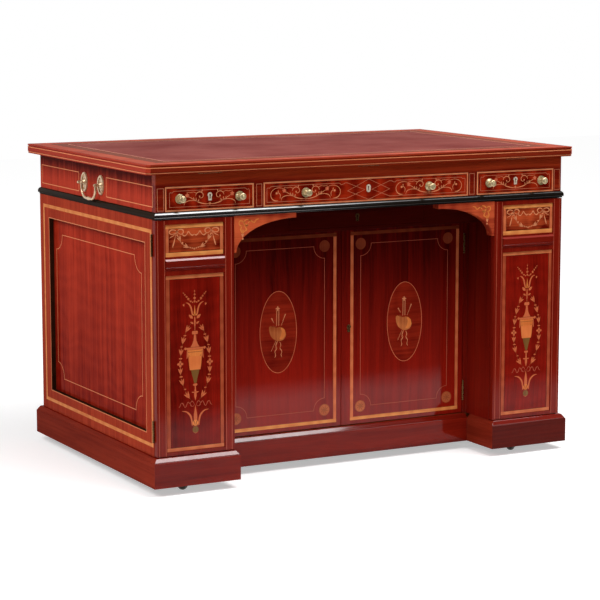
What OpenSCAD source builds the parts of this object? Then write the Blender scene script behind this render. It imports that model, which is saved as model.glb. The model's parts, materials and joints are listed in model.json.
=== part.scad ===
// Architect's desk: a pedestal desk with a rising ratchet top, three frieze drawers,
// two cupboard pedestals, a shallow kneehole with a plan cupboard, and castors in the plinth.
// The origin is on the floor under the middle of the carcase, the front faces -Y.

/* [Overall] */
// Height from the floor to the top's upper face
desk_h = 785; // [760:5:820]
// Width of the top
top_w = 1192; // [1120:4:1300]
// Depth of the top
top_d = 758; // [720:2:800]
// Thickness of the top
top_t = 24; // [20:1:32]
// Overhang of the top beyond the frieze at each side
side_over = 28; // [20:1:36]
// Overhang of the top beyond the frieze at the front and at the back
front_over = 16; // [12:1:24]
// Clipped front corners of the top, measured along each edge
corner_cut = 9; // [4:1:16]

// Width of the banded border round the leather
border_w = 81; // [70:1:95]
// Thickness of the leather let into the top
leather_t = 1.5; // [1:0.25:2]

/* [Top edge] */
// Height of the small bead along the top's upper arris
edge_bead_h = 4; // [2:0.5:6]
// Height and depth of the quirk under that bead
edge_quirk = 1.6; // [1:0.2:2.4]
// Height of the lower band of the top's edge
edge_band_h = 5; // [3:0.5:7]
// How far the lower band stands back
edge_band_in = 1; // [0.5:0.25:2]

/* [Rising top] */
// How far the top rises on its ratchet, in degrees
rise_angle = 35; // [20:1:38]
// Room between the closed strut's racks and the back of the frieze
strut_clear = 35; // [25:5:60]
// Distance between the middles of the strut's two legs
strut_gauge = 360; // [240:10:480]
// Width of a leg of the strut
strut_leg_w = 22; // [16:1:30]
// Thickness of the strut
strut_t = 10; // [9:0.5:11]
// Width of the strut's two cross bars
strut_bar_w = 40; // [30:2:50]
// Pitch of the ratchet teeth
tooth_pitch = 12; // [10:1:16]
// Height of the ratchet teeth
tooth_h = 4; // [3:0.5:4.5]
// Width of a ratchet rack
rack_w = 24; // [16:1:30]
// Length of a hinge of the top
top_hinge_len = 60; // [50:2:80]

/* [Frieze] */
// Height of the frieze
frieze_h = 89; // [84:1:104]
// Height of the plain rail above the drawers
frieze_rail_h = 29.5; // [28:0.5:36]
// Thickness of the frieze boards
frieze_t = 20; // [18:1:22]
// Width of the frieze's end stiles
end_stile_w = 23; // [21:1:30]
// Width of the stiles between the drawers
mid_stile_w = 24; // [20:1:30]
// Width of the middle drawer's opening
mid_opening_w = 576; // [520:4:620]
// Thickness of the board over the drawers
sub_top_t = 8; // [6:1:9]

/* [Frieze drawers] */
// Length of a frieze drawer from front to back
drawer_len = 520; // [440:10:600]
// Thickness of a drawer front
drawer_front_t = 20; // [18:1:24]
// Thickness of a drawer's sides
drawer_side_t = 9; // [8:1:12]
// Thickness of a drawer's bottom
drawer_bottom_t = 6; // [5:1:8]
// Gap round a drawer front
drawer_gap = 0.8; // [0.5:0.1:1.2]
// Offset of the knobs from the middle of a side drawer
side_knob_offset = 78; // [60:1:86]
// Offset of the knobs from the middle of the middle drawer
mid_knob_offset = 173; // [140:1:220]

/* [Knobs and escutcheons] */
// Radius of a knob's rose
rose_r = 11.5; // [11:0.5:14]
// Radius of a knob's head
knob_r = 8.5; // [7.5:0.5:10.5]
// How far a knob stands out from the drawer front
knob_reach = 21; // [19:1:28]
// Width of an escutcheon
plate_w = 11.5; // [10.5:0.5:15]
// Height of an escutcheon
plate_h = 19; // [18:1:26]
// Thickness of an escutcheon
plate_t = 1.2; // [0.8:0.2:2]
// How far a drawer's escutcheon sits above the middle of the drawer
plate_rise = 2.5; // [0:0.5:4]
// Radius of a keyhole's round part
key_r = 2; // [1.8:0.1:2.4]
// Drop of a keyhole's slot below the middle of its round part
key_drop = 9; // [7:0.5:9.5]
// Width of a lock's case
lock_w = 46; // [36:1:56]
// Height of a lock's case
lock_h = 26; // [22:1:32]

/* [Waist moulding] */
// Height of the ebonised waist moulding
waist_h = 17; // [14:1:22]
// How far the waist moulding stands out beyond the frieze
waist_proud = 6; // [5:0.5:9]
// Height of the waist moulding's nose, above its fillet
waist_nose_h = 13.5; // [11:0.5:16]
// Radius of the ovolo on that nose
waist_ovolo_r = 10; // [9:0.5:14]

/* [Carcase] */
// How far the carcase stands out beyond the frieze all round
carcase_proud = 2; // [1:0.5:3]
// Width of a pedestal
pedestal_w = 203; // [180:1:240]
// Thickness of the side and back frames
frame_t = 22; // [20:1:26]
// Width of the side frames' stiles
frame_stile_w = 62; // [50:1:80]
// Height of the side frames' top rail
frame_top_rail_h = 58; // [45:1:75]
// Height of the side frames' bottom rail
frame_bottom_rail_h = 53; // [45:1:75]
// How deep the panels lie behind the frames
panel_sunk = 13; // [8:1:13]
// Thickness of the sunk panels
panel_t = 7; // [6:1:8]
// Thickness of the pedestals' inner sides
inner_t = 18; // [15:1:22]
// Thickness of the shelves
shelf_t = 16; // [12:1:20]
// Height of the shelf in the plan cupboard above its floor
plan_shelf_h = 240; // [180:5:320]

/* [Plinth] */
// Gap between the floor and the plinth
floor_gap = 20.5; // [16:0.5:24]
// Height of the plinth's face
plinth_h = 60; // [52:1:72]
// Height of the moulding on the plinth
plinth_mould_h = 10.5; // [8:0.5:14]
// How far the plinth stands out beyond the carcase
plinth_proud = 14.5; // [12:0.5:17]
// How far the plinth stands out into the kneehole
plinth_inner_proud = 9; // [6:0.5:12]
// Thickness of the plinth boards
plinth_t = 18; // [16:1:22]
// Thickness of the carcase floor
floor_t = 16; // [14:1:20]

/* [Kneehole] */
// How far the plan cupboard's doors lie behind the carcase front
kneehole_depth = 125; // [110:1:180]
// How far the apron lies behind the carcase front
apron_setback = 56; // [45:1:66]
// Height of the apron
apron_h = 58; // [54:1:66]
// Thickness of the apron
apron_t = 18; // [16:1:22]
// Width of the apron drawer
apron_drawer_w = 378; // [300:4:390]
// Length of the apron drawer
apron_drawer_len = 360; // [280:10:440]
// Thickness of the board under the apron drawer
apron_floor_t = 8; // [7:0.5:10]
// Length of a spandrel along the frieze
spandrel_l = 166; // [120:2:170]
// Drop of a spandrel at the pedestal
spandrel_drop = 88; // [70:1:92]
// Height of a spandrel's tip
spandrel_tip_h = 12; // [8:1:18]
// Thickness of a spandrel
spandrel_t = 26; // [20:1:30]

/* [Doors] */
// Thickness of a pedestal door
door_t = 16; // [16:1:24]
// Width of a pedestal door's stiles
door_stile_w = 25; // [20:1:32]
// Height of a pedestal door's top rail
door_top_rail_h = 11; // [9:1:20]
// Height of a pedestal door's bottom rail
door_bottom_rail_h = 9; // [8:1:24]
// Height of the festoon panel's opening
festoon_h = 76; // [66:1:90]
// Height of the rail between the two panels
door_rail_h = 44; // [36:1:54]
// Height of the strip of that rail above its moulding
rail_strip_h = 5; // [3:1:9]
// Height of the moulding on that rail
ledge_h = 26; // [18:1:28]
// How far that moulding stands out
ledge_proud = 3; // [2:0.5:4]
// How deep the door panels lie behind the stiles
door_panel_sunk = 2.5; // [1.5:0.5:4]
// Thickness of the door panels
door_panel_t = 10; // [8:1:11]
// Thickness of a plan cupboard door
plan_door_t = 20; // [18:1:24]
// Width of the stiles that the plan cupboard doors hang on
hanging_stile_w = 11.5; // [10:0.5:16]
// How far the doors' meeting line lies to the left of the middle
meeting_offset = 6; // [0:1:10]
// Gap round a door
door_gap = 1.5; // [1:0.25:2]

/* [Hinges] */
// Length of a door hinge
hinge_len = 52; // [44:2:64]
// Radius of a hinge's knuckle
knuckle_r = 2.5; // [2.5:0.25:3.5]
// Radius of a hinge's pin
pin_r = 1.2; // [1.2:0.1:1.5]
// Thickness of a hinge's leaf
leaf_t = 1; // [0.8:0.05:1.2]
// Width of a hinge's leaf from the pin
leaf_w = 18; // [14:1:20]
// Distance of the doors' hinges from the door's lower and upper ends, to a hinge's middle
hinge_from_end = 59; // [50:1:80]
// Running clearance round pins and axles
running = 0.05; // [0.03:0.01:0.08]

/* [Side handles] */
// Distance between the posts of a side handle
handle_gauge = 104; // [90:1:130]
// How far the handles lie behind the middle of the side
handle_back = 10; // [0:1:20]
// Height of a handle's posts above the foot of the frieze
handle_z = 38; // [34:0.5:42]
// Width of a handle's backplate
backplate_w = 39; // [30:1:42]
// Height of a handle's backplate
backplate_h = 49; // [44:1:54]
// Height of the raised rim round a backplate
rim_h = 3.5; // [2:0.5:4]
// Width of that rim
rim_w = 5; // [3:0.5:7]
// Radius of a handle's posts
post_r = 4; // [3:0.2:5]
// How far the middle of a post's ball tip stands out
post_reach = 17.5; // [16:0.5:22]
// Radius of the ball tips
ball_r = 3.6; // [3:0.2:4.5]
// How far the bail's axis stands out
bail_reach = 12; // [11:0.5:13]
// Drop of the bail below its axis
bail_drop = 36.5; // [32:0.5:40]
// Radius of the bail's rod
bail_r = 3.2; // [2.6:0.1:3.8]
// Radius of the bail's two bends
bail_bend = 28; // [16:1:34]
// How much the bail swells in the middle of its grip
bail_swell = 1.4; // [0.6:0.2:2]

/* [Castors] */
// Radius of a castor's wheel
wheel_r = 20; // [18:0.5:22]
// Width of a castor's wheel
wheel_w = 18; // [14:1:18]
// Radius of the rounding of a castor wheel's tread
tread_round = 8; // [3:0.5:8]
// Trail between a castor's swivel axis and its axle
trail = 25; // [22:1:26]
// Distance of a castor's swivel axis behind the plinth's face
castor_in = 66; // [66:1:80]
// Angle that the castors trail at, from the left towards the front, in degrees
castor_turn = 38; // [0:1:80]

/* [Hidden] */
$fn = 48;

// Colours as the photograph shows them
mahogany = [0.45, 0.09, 0.06];
inner_wood = [0.50, 0.24, 0.14];
ebonised = [0.05, 0.04, 0.04];
satinwood = [0.78, 0.42, 0.22];
leather = [0.42, 0.13, 0.12];
brass = [0.74, 0.68, 0.50];
iron = [0.16, 0.13, 0.11];

eps = 0.01;

// Heights from the floor
plinth_z = floor_gap;
floor_z = plinth_z + plinth_h + plinth_mould_h;
slab_z = desk_h - top_t;
frieze_z = slab_z - frieze_h;
waist_z = frieze_z - waist_h;
opening_top = slab_z - frieze_rail_h;
opening_h = opening_top - frieze_z;
sub_top_z = opening_top + 1.5;
well_z = sub_top_z + sub_top_t;
drawer_mid_z = frieze_z + opening_h / 2;

// Half sizes in plan
frieze_x = top_w / 2 - side_over;
frieze_y = top_d / 2 - front_over;
carcase_x = frieze_x + carcase_proud;
carcase_y = frieze_y + carcase_proud;
frieze_in_x = frieze_x - frieze_t;
frieze_in_y = frieze_y - frieze_t;
side_in_x = carcase_x - frame_t;
back_in_y = carcase_y - frame_t;
knee_x = carcase_x - pedestal_w;
door_back_y = -carcase_y + door_t;
hinge_gap = 2 * leaf_t;
side_front_y = door_back_y + hinge_gap;
plan_y = -carcase_y + kneehole_depth;
apron_y = -carcase_y + apron_setback;
apron_z = waist_z - apron_h;

// Drawer openings: middle and width of each
mid_x = mid_opening_w / 2;
side_open_in = mid_x + mid_stile_w;
side_open_out = frieze_x - end_stile_w;
side_open_x = (side_open_in + side_open_out) / 2;
side_open_w = side_open_out - side_open_in;

// A board from its limits along x, y and z
module board(x, y, z) {
    translate([x[0], y[0], z[0]])
        cube([x[1] - x[0], y[1] - y[0], z[1] - z[0]]);
}

// The same children on the left and, mirrored, on the right
module both() {
    children();
    mirror([1, 0, 0]) children();
}

// A turned shape standing on the front, at x and z: the outline's y points out of the face
module turned(x, y, z) {
    translate([x, y, z]) rotate([90, 0, 0]) rotate_extrude($fn = 64) children();
}

// Outward normal and corner offset of a clockwise path's segments
function heading(path, i) =
    let (n = len(path), v = path[(i + 1) % n] - path[(i + n) % n]) v / norm(v);
function outward(path, i) = let (t = heading(path, i)) [-t[1], t[0]];
function pushed(path, i, by) =
    let (n = len(path)) path[i % n] + by * (outward(path, (i + n - 1) % n) + outward(path, i % n));
function grown(path, by) = [for (i = [0:len(path) - 1]) pushed(path, i, by)];

// A moulding mitred round a clockwise path: its profile has x outwards and y upwards
module mitred(path, out, in, h) {
    for (i = [0:len(path) - 1]) {
        t = heading(path, i);
        a = atan2(outward(path, i)[1], outward(path, i)[0]);
        p = path[i] - t * out;
        run = norm(path[(i + 1) % len(path)] - path[i]) + 2 * out;
        intersection() {
            translate([p[0], p[1], 0]) rotate([90, 0, a]) linear_extrude(run) children();
            linear_extrude(h)
                polygon([pushed(path, i, out), pushed(path, i + 1, out),
                         pushed(path, i + 1, -in), pushed(path, i, -in)]);
        }
    }
}

function rectangle(x, y) = [[x, -y], [-x, -y], [-x, y], [x, y]];

// Top: one slab with a moulded edge and clipped front corners
quirk_z = desk_h - edge_bead_h - edge_quirk;
hinge_y = -frieze_y - 1;
strut_len = (frieze_in_y - hinge_y - tooth_pitch - strut_clear) / 2;
strut_bar_at = [0.16, 0.6];
bracket_t = 12;
bracket_half = 12;
bracket_neck = 5;
pivot_y = hinge_y + strut_len;
strut_z = slab_z - strut_t / 2 - 0.5;
foot_y = pivot_y + strut_len;
top_hinge_x = [-0.36 * top_w, 0, 0.36 * top_w];
notch = 0.6;

module top_outline(in) {
    x = top_w / 2 - in;
    y = top_d / 2 - in;
    polygon([[-x + corner_cut, -y], [x - corner_cut, -y], [x, -y + corner_cut], [x, y],
             [-x, y], [-x, -y + corner_cut]]);
}

module top_slab() {
    color(mahogany) difference() {
        union() {
            translate([0, 0, quirk_z + edge_quirk - eps])
                linear_extrude(edge_bead_h + eps) top_outline(0);
            translate([0, 0, quirk_z - eps])
                linear_extrude(edge_quirk + 2 * eps) top_outline(edge_quirk);
            translate([0, 0, slab_z + edge_band_h])
                linear_extrude(quirk_z - slab_z - edge_band_h) top_outline(0);
            translate([0, 0, slab_z])
                linear_extrude(edge_band_h + eps) top_outline(edge_band_in);
        }
        leather_sheet(1);
        for (x = top_hinge_x) {
            translate([x - top_hinge_len / 2 - notch, hinge_y, slab_z]) rotate([0, 90, 0])
                cylinder(r = knuckle_r + notch, h = top_hinge_len + 2 * notch);
            board([x - top_hinge_len / 2, x + top_hinge_len / 2],
                  [hinge_y, hinge_y + leaf_w + notch], [slab_z - 1, slab_z + leaf_t]);
        }
    }
}

// Leather let into the top, flush with the border
module leather_sheet(above) {
    x = top_w / 2 - border_w;
    y = top_d / 2 - border_w;
    board([-x, x], [-y, y], [desk_h - leather_t, desk_h + above]);
}

module top_leather() {
    color(leather) leather_sheet(0);
}

// Hinge along Z: the knuckles stand on its axis, the leaf lies on the given side of the X axis
module knuckle(len, from, to) {
    difference() {
        translate([0, 0, from * len]) cylinder(r = knuckle_r, h = (to - from) * len);
        translate([0, 0, -1]) cylinder(r = pin_r + running, h = len + 2);
    }
}

// The leaf with the two outer knuckles and the pin
module pinned_leaf(len, side) {
    for (k = [0, 1])
        translate([0, 0, k * 0.67 * len]) cylinder(r = knuckle_r, h = 0.33 * len);
    translate([0, 0, 0.1 * len]) cylinder(r = pin_r, h = 0.8 * len);
    for (k = [0, 1])
        translate([0, side > 0 ? 0 : -leaf_t, k * 0.67 * len])
            cube([leaf_w, leaf_t, 0.33 * len]);
    translate([knuckle_r + 0.5, side > 0 ? 0 : -leaf_t, 0])
        cube([leaf_w - knuckle_r - 0.5, leaf_t, len]);
}

// The leaf with the middle knuckle, which turns on the pin
module swinging_leaf(len, side) {
    difference() {
        union() {
            knuckle(len, 0.34, 0.66);
            translate([0, side > 0 ? 0 : -leaf_t, 0.34 * len]) cube([leaf_w, leaf_t, 0.32 * len]);
            translate([knuckle_r + 0.5, side > 0 ? 0 : -leaf_t, 0])
                cube([leaf_w - knuckle_r - 0.5, leaf_t, len]);
        }
        translate([0, 0, -1]) cylinder(r = pin_r + running, h = len + 2);
    }
}

// Hinge under the top's front edge, seen along its axis from the right
module along_top(x) {
    translate([x - top_hinge_len / 2, hinge_y, slab_z]) rotate([0, 90, 0]) rotate([0, 0, 90])
        children();
}

// Brass under the top: the upper hinge leaves and the strut's two pivot brackets
module top_brackets() {
    color(brass) {
        for (x = top_hinge_x)
            along_top(x) mirror([0, 1, 0]) swinging_leaf(top_hinge_len, -1);
        both() translate([strut_gauge / 2 + strut_leg_w / 2 + 1, 0, 0]) {
            board([0, bracket_t], [pivot_y - bracket_half, pivot_y + bracket_half],
                  [slab_z - 3, slab_z]);
            board([0, bracket_t], [pivot_y - bracket_neck, pivot_y + bracket_neck],
                  [strut_z - bracket_neck, slab_z - 1]);
            translate([-strut_leg_w / 2, pivot_y, strut_z]) rotate([0, 90, 0])
                cylinder(r = pin_r + 1, h = strut_leg_w / 2 + 1);
        }
    }
}

// Easel strut: two legs and their cross bars, on the pivot pins at one end
module easel_strut() {
    foot_r = strut_t / 2 - 0.5;
    color(inner_wood) difference() {
        union() {
            both() translate([strut_gauge / 2 - strut_leg_w / 2, 0, 0]) {
                board([0, strut_leg_w], [pivot_y, foot_y], [strut_z - strut_t / 2, strut_z + strut_t / 2]);
                for (y = [pivot_y, foot_y])
                    translate([0, y, strut_z]) rotate([0, 90, 0])
                        cylinder(r = strut_t / 2, h = strut_leg_w);
            }
            for (k = strut_bar_at)
                board([-strut_gauge / 2, strut_gauge / 2],
                      [pivot_y + k * strut_len, pivot_y + k * strut_len + strut_bar_w],
                      [strut_z - strut_t / 2 + 1, strut_z + strut_t / 2]);
            translate([-strut_gauge / 2, foot_y, strut_z]) rotate([0, 90, 0])
                cylinder(r = foot_r, h = strut_gauge);
        }
        both() translate([strut_gauge / 2 - strut_leg_w, pivot_y, strut_z]) rotate([0, 90, 0])
            cylinder(r = pin_r + 1 + running, h = 2 * strut_leg_w);
    }
}

// Ratchet racks on the board over the drawers, under the strut's foot bar
module ratchet_racks() {
    foot_low = strut_z - strut_t / 2 + 0.5;
    rack_top = foot_low - 0.5;
    back = foot_y + tooth_pitch;
    front = hinge_y + 2 * strut_len * cos(rise_angle) - tooth_pitch;
    n = ceil((back - front) / tooth_pitch);
    x = strut_gauge / 2 - strut_leg_w / 2 - rack_w - 6;
    color(inner_wood) both() translate([x, 0, 0]) {
        board([0, rack_w], [back - n * tooth_pitch, back], [well_z, rack_top - tooth_h]);
        translate([0, back, rack_top - tooth_h]) rotate([90, 0, 90]) linear_extrude(rack_w)
            polygon([[0, -eps], for (i = [0:n - 1]) each [[-i * tooth_pitch, 0],
                     [-i * tooth_pitch - 0.7 * tooth_pitch, tooth_h],
                     [-i * tooth_pitch - 0.9 * tooth_pitch, 0]],
                     [-n * tooth_pitch, 0], [-n * tooth_pitch, -eps]]);
    }
}

// Frieze: front frame with the rail and four stiles, sides, back, partitions and sub-top
module frieze_front() {
    color(mahogany) {
        difference() {
            board([-frieze_x, frieze_x], [-frieze_y, -frieze_in_y], [frieze_z, slab_z]);
            for (o = [[-side_open_x, side_open_w], [0, mid_opening_w], [side_open_x, side_open_w]])
                board([o[0] - o[1] / 2, o[0] + o[1] / 2], [-frieze_y - 1, -frieze_in_y + 1],
                      [frieze_z - 1, opening_top]);
            for (x = top_hinge_x) {
                board([x - top_hinge_len / 2, x + top_hinge_len / 2],
                      [hinge_y, hinge_y + leaf_w + notch], [slab_z - leaf_t, slab_z + 1]);
                translate([x - top_hinge_len / 2 - notch, hinge_y, slab_z]) rotate([0, 90, 0])
                    cylinder(r = knuckle_r + notch, h = top_hinge_len + 2 * notch);
            }
        }
    }
}

module frieze_sides() {
    color(mahogany) both()
        board([frieze_in_x, frieze_x], [-frieze_in_y, frieze_y], [frieze_z, slab_z]);
}

module frieze_back() {
    color(mahogany)
        board([-frieze_in_x, frieze_in_x], [frieze_in_y, frieze_y], [frieze_z, slab_z]);
}

module drawer_partitions() {
    color(inner_wood) both()
        board([mid_x + 1, mid_x + mid_stile_w - 1], [-frieze_in_y, frieze_in_y],
              [frieze_z, sub_top_z]);
}

module sub_top() {
    color(inner_wood)
        board([-frieze_in_x, frieze_in_x], [-frieze_in_y, frieze_in_y], [sub_top_z, well_z]);
}

// Waist: the ebonised moulding round the deck board
waist_step = waist_proud - carcase_proud - 1;

module waist_moulding() {
    ledge = 0.4;
    ovolo_h = sqrt(pow(waist_ovolo_r, 2) - pow(waist_ovolo_r - waist_proud + ledge, 2));
    under_r = 2;
    nose_z = waist_h - waist_nose_h;
    color(ebonised) translate([0, 0, waist_z])
        mitred(rectangle(frieze_x, frieze_y), waist_proud, frieze_t, waist_h) union() {
            translate([-frieze_t, 0]) square([frieze_t + waist_step, nose_z + 1]);
            translate([-frieze_t, nose_z]) square([frieze_t, waist_nose_h]);
            translate([-1, nose_z]) square([waist_proud + 1 - under_r, under_r + 1]);
            translate([waist_proud - under_r, nose_z + under_r]) circle(r = under_r);
            translate([-1, nose_z + under_r])
                square([waist_proud + 1, waist_nose_h - ovolo_h - under_r]);
            intersection() {
                translate([waist_proud - waist_ovolo_r, waist_h - ovolo_h])
                    circle(r = waist_ovolo_r, $fn = 120);
                translate([-1, waist_h - ovolo_h]) square([waist_proud + 1, ovolo_h]);
            }
        }
}

module deck_board() {
    color(inner_wood)
        board([-frieze_in_x, frieze_in_x], [-frieze_in_y, frieze_in_y], [waist_z, frieze_z]);
}

// Keyhole through a board, the round end up, at x and z
module keyhole(x, y, z, t) {
    eye_z = z + (key_drop - key_r) / 2;
    translate([x, y + t + 1, eye_z]) rotate([90, 0, 0]) cylinder(r = key_r, h = t + 2);
    board([x - key_r * 0.55, x + key_r * 0.55], [y - 1, y + t + 1], [eye_z - key_drop, eye_z]);
}

// Drawer: the front, the dovetailed box with its bottom, and the brass on it
module drawer_front(x, w) {
    color(mahogany) difference() {
        board([x - w / 2 + drawer_gap, x + w / 2 - drawer_gap],
              [-frieze_y, -frieze_y + drawer_front_t],
              [frieze_z + drawer_gap / 2, opening_top - drawer_gap]);
        keyhole(x, -frieze_y, drawer_mid_z + plate_rise, drawer_front_t);
    }
}

module drawer_box(x, w, y, z, h, length, front_t) {
    half = w / 2 - 1.5;
    back_y = y + length;
    color(inner_wood) {
        for (s = [-1, 1]) {
            lo = s < 0 ? x - half : x + half - drawer_side_t;
            board([lo, lo + drawer_side_t], [y + front_t, back_y], [z, z + h]);
        }
        board([x - half + drawer_side_t, x + half - drawer_side_t],
              [back_y - drawer_side_t, back_y], [z + drawer_bottom_t + 2, z + h - 3]);
        board([x - half + drawer_side_t, x + half - drawer_side_t], [y + front_t, back_y],
              [z + 2, z + 2 + drawer_bottom_t]);
    }
}

module frieze_drawer_box(x, w) {
    drawer_box(x, w, -frieze_y, frieze_z + 0.3, opening_h - 9, drawer_len, drawer_front_t);
}

module knob(x, y, z) {
    head_h = knob_r;
    lip = head_h / 2;
    turned(x, y, z) {
        square([rose_r - 1.2, 2.4]);
        translate([0, 0]) square([rose_r, 1.2]);
        translate([0, 0.6]) square([knob_r - 2, 3]);
        square([0.42 * knob_r, knob_reach - lip]);
        translate([0, knob_reach - head_h]) square([knob_r - lip, head_h - 1]);
        difference() {
            translate([knob_r - lip, knob_reach - lip]) circle(r = lip);
            translate([-2 * knob_r, 0]) square([2 * knob_r, 2 * knob_reach]);
        }
        square([0.3 * knob_r, knob_reach]);
    }
}

module escutcheon(x, y, z, round_foot = false) {
    r = plate_w / 2;
    shoulder = plate_h / 2 - r;
    difference() {
        union() {
            translate([x, y, z + shoulder]) rotate([90, 0, 0]) cylinder(r = r, h = plate_t);
            if (round_foot) {
                board([x - r, x + r], [y - plate_t, y], [z - shoulder, z + shoulder]);
                translate([x, y, z - shoulder]) rotate([90, 0, 0]) cylinder(r = r, h = plate_t);
            } else
                board([x - 0.72 * r, x + 0.72 * r], [y - plate_t, y],
                      [z - plate_h / 2, z + shoulder]);
        }
        keyhole(x, y - plate_t, z, plate_t);
    }
}

// Lock on the back of a front, its bolt drawn in
module lock_case(x, y, z, w, h) {
    board([x - w / 2, x + w / 2], [y, y + 8], [z - h / 2, z + h / 2]);
    board([x - 8, x + 8], [y + 1, y + 5], [z + h / 2 - 1, z + h / 2 + 2]);
}

module drawer_brass(x, offset, round_foot = false) {
    back = -frieze_y + drawer_front_t;
    color(brass) {
        for (s = [-1, 1]) knob(x + s * offset, -frieze_y, drawer_mid_z);
        escutcheon(x, -frieze_y, drawer_mid_z + plate_rise, round_foot);
        lock_case(x, back, drawer_mid_z + plate_rise, lock_w, lock_h);
    }
}

module left_drawer_front() { drawer_front(-side_open_x, side_open_w); }
module left_drawer_box() { frieze_drawer_box(-side_open_x, side_open_w); }
module left_drawer_brass() { drawer_brass(-side_open_x, side_knob_offset); }
module middle_drawer_front() { drawer_front(0, mid_opening_w); }
module middle_drawer_box() { frieze_drawer_box(0, mid_opening_w); }
module middle_drawer_brass() { drawer_brass(0, mid_knob_offset, true); }
module right_drawer_front() { drawer_front(side_open_x, side_open_w); }
module right_drawer_box() { frieze_drawer_box(side_open_x, side_open_w); }
module right_drawer_brass() { drawer_brass(side_open_x, side_knob_offset); }

// Lower carcase: framed sides and back with sunk panels
panel_lo = floor_z + frame_bottom_rail_h;
panel_hi = waist_z - frame_top_rail_h;
side_panel_y = carcase_y - frame_stile_w;
tongue = 6;

module side_frames() {
    color(mahogany) both() difference() {
        board([side_in_x, carcase_x], [side_front_y, carcase_y], [floor_z, waist_z]);
        board([side_in_x - 1, carcase_x + 1], [-side_panel_y, side_panel_y], [panel_lo, panel_hi]);
        board([carcase_x - panel_sunk - panel_t, carcase_x - panel_sunk],
              [-side_panel_y - tongue, side_panel_y + tongue], [panel_lo - tongue, panel_hi + tongue]);
    }
}

module side_panels() {
    color(mahogany) both()
        board([carcase_x - panel_sunk - panel_t, carcase_x - panel_sunk],
              [-side_panel_y - tongue, side_panel_y + tongue], [panel_lo - tongue, panel_hi + tongue]);
}

// The back has three panels, one behind each pedestal and one behind the plan cupboard
back_edges = [-side_in_x + frame_stile_w - frame_t, -knee_x - frame_stile_w / 2,
              -knee_x + frame_stile_w / 2, knee_x - frame_stile_w / 2,
              knee_x + frame_stile_w / 2, side_in_x - frame_stile_w + frame_t];

module back_opening(k, grow) {
    board([back_edges[2 * k] - grow, back_edges[2 * k + 1] + grow],
          [grow > 0 ? carcase_y - panel_sunk - panel_t : back_in_y - 1,
           grow > 0 ? carcase_y - panel_sunk : carcase_y + 1],
          [panel_lo - grow, panel_hi + grow]);
}

module back_frame() {
    color(mahogany) difference() {
        board([-side_in_x, side_in_x], [back_in_y, carcase_y], [floor_z, waist_z]);
        for (k = [0:2]) {
            back_opening(k, 0);
            back_opening(k, tongue);
        }
    }
}

module back_panels() {
    color(mahogany) for (k = [0:2]) back_opening(k, tongue);
}

// Inner sides of the pedestals with the stiles that the plan cupboard doors hang on
module inner_sides() {
    color(mahogany) both() {
        board([knee_x, knee_x + inner_t], [side_front_y, back_in_y], [floor_z, waist_z]);
        board([knee_x - hanging_stile_w, knee_x], [plan_y, plan_y + plan_door_t + 2],
              [floor_z, apron_z]);
    }
}

// Two shelves in each pedestal and one in the plan cupboard
module shelves() {
    bay = (waist_z - floor_z - 2 * shelf_t) / 3;
    color(inner_wood) {
        both() for (k = [1, 2])
            board([knee_x + inner_t, side_in_x], [side_front_y + 6, back_in_y],
                  [floor_z + k * bay + (k - 1) * shelf_t, floor_z + k * (bay + shelf_t)]);
        board([-knee_x, knee_x], [plan_y + plan_door_t + 8, back_in_y],
              [floor_z + plan_shelf_h, floor_z + plan_shelf_h + shelf_t]);
    }
}

// Plinth: mitred boards that follow the break front, with a moulded upper edge
plinth_x = carcase_x + plinth_proud;
plinth_y = carcase_y + plinth_proud;
plinth_knee_x = knee_x - plinth_inner_proud;
recess_y = plan_y - plinth_proud - 5;
plinth_path = [[plinth_x, -plinth_y], [plinth_knee_x, -plinth_y], [plinth_knee_x, recess_y],
               [-plinth_knee_x, recess_y], [-plinth_knee_x, -plinth_y], [-plinth_x, -plinth_y],
               [-plinth_x, plinth_y], [plinth_x, plinth_y]];

module plinth_profile() {
    top = plinth_h + plinth_mould_h;
    bead = 2;
    difference() {
        polygon([[-plinth_t, 0], [0, 0], [0, plinth_h - 1], [-1, plinth_h],
                 [-bead, plinth_h], [-bead, plinth_h + bead],
                 [-plinth_inner_proud + 0.5, top], [-plinth_t, top]]);
        translate([-bead - 0.4, plinth_h + plinth_mould_h * 0.85]) circle(r = 2.2);
    }
}

module plinth() {
    color(mahogany) translate([0, 0, plinth_z])
        mitred(plinth_path, 1, plinth_t + 1, plinth_h + plinth_mould_h) plinth_profile();
}

module floor_board() {
    color(inner_wood) translate([0, 0, floor_z - floor_t])
        linear_extrude(floor_t) polygon(grown(plinth_path, -plinth_t));
}

// Kneehole: apron, the board that carries its drawer, the drawer and the spandrels
apron_drawer_h = apron_h - apron_floor_t - 4;
apron_drawer_z = apron_z + apron_floor_t;

module apron() {
    color(mahogany) difference() {
        board([-knee_x, knee_x], [apron_y, apron_y + apron_t], [apron_z, waist_z]);
        board([-apron_drawer_w / 2 - drawer_gap, apron_drawer_w / 2 + drawer_gap],
              [apron_y - 1, apron_y + apron_t + 1],
              [apron_drawer_z, apron_drawer_z + apron_drawer_h]);
    }
}

module apron_floor() {
    guide_x = apron_drawer_w / 2 + 0.5;
    color(inner_wood) {
        board([-knee_x, knee_x], [apron_y + apron_t, back_in_y],
              [apron_z, apron_z + apron_floor_t]);
        both() board([guide_x, guide_x + 14],
                     [apron_y + apron_t, apron_y + apron_drawer_len + 20],
                     [apron_drawer_z, apron_drawer_z + 18]);
    }
}

module apron_drawer_front() {
    color(mahogany) difference() {
        board([-apron_drawer_w / 2, apron_drawer_w / 2], [apron_y, apron_y + apron_t],
              [apron_drawer_z + 0.4, apron_drawer_z + apron_drawer_h - drawer_gap]);
        keyhole(0, apron_y, apron_drawer_z + apron_drawer_h / 2, apron_t);
    }
}

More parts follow.
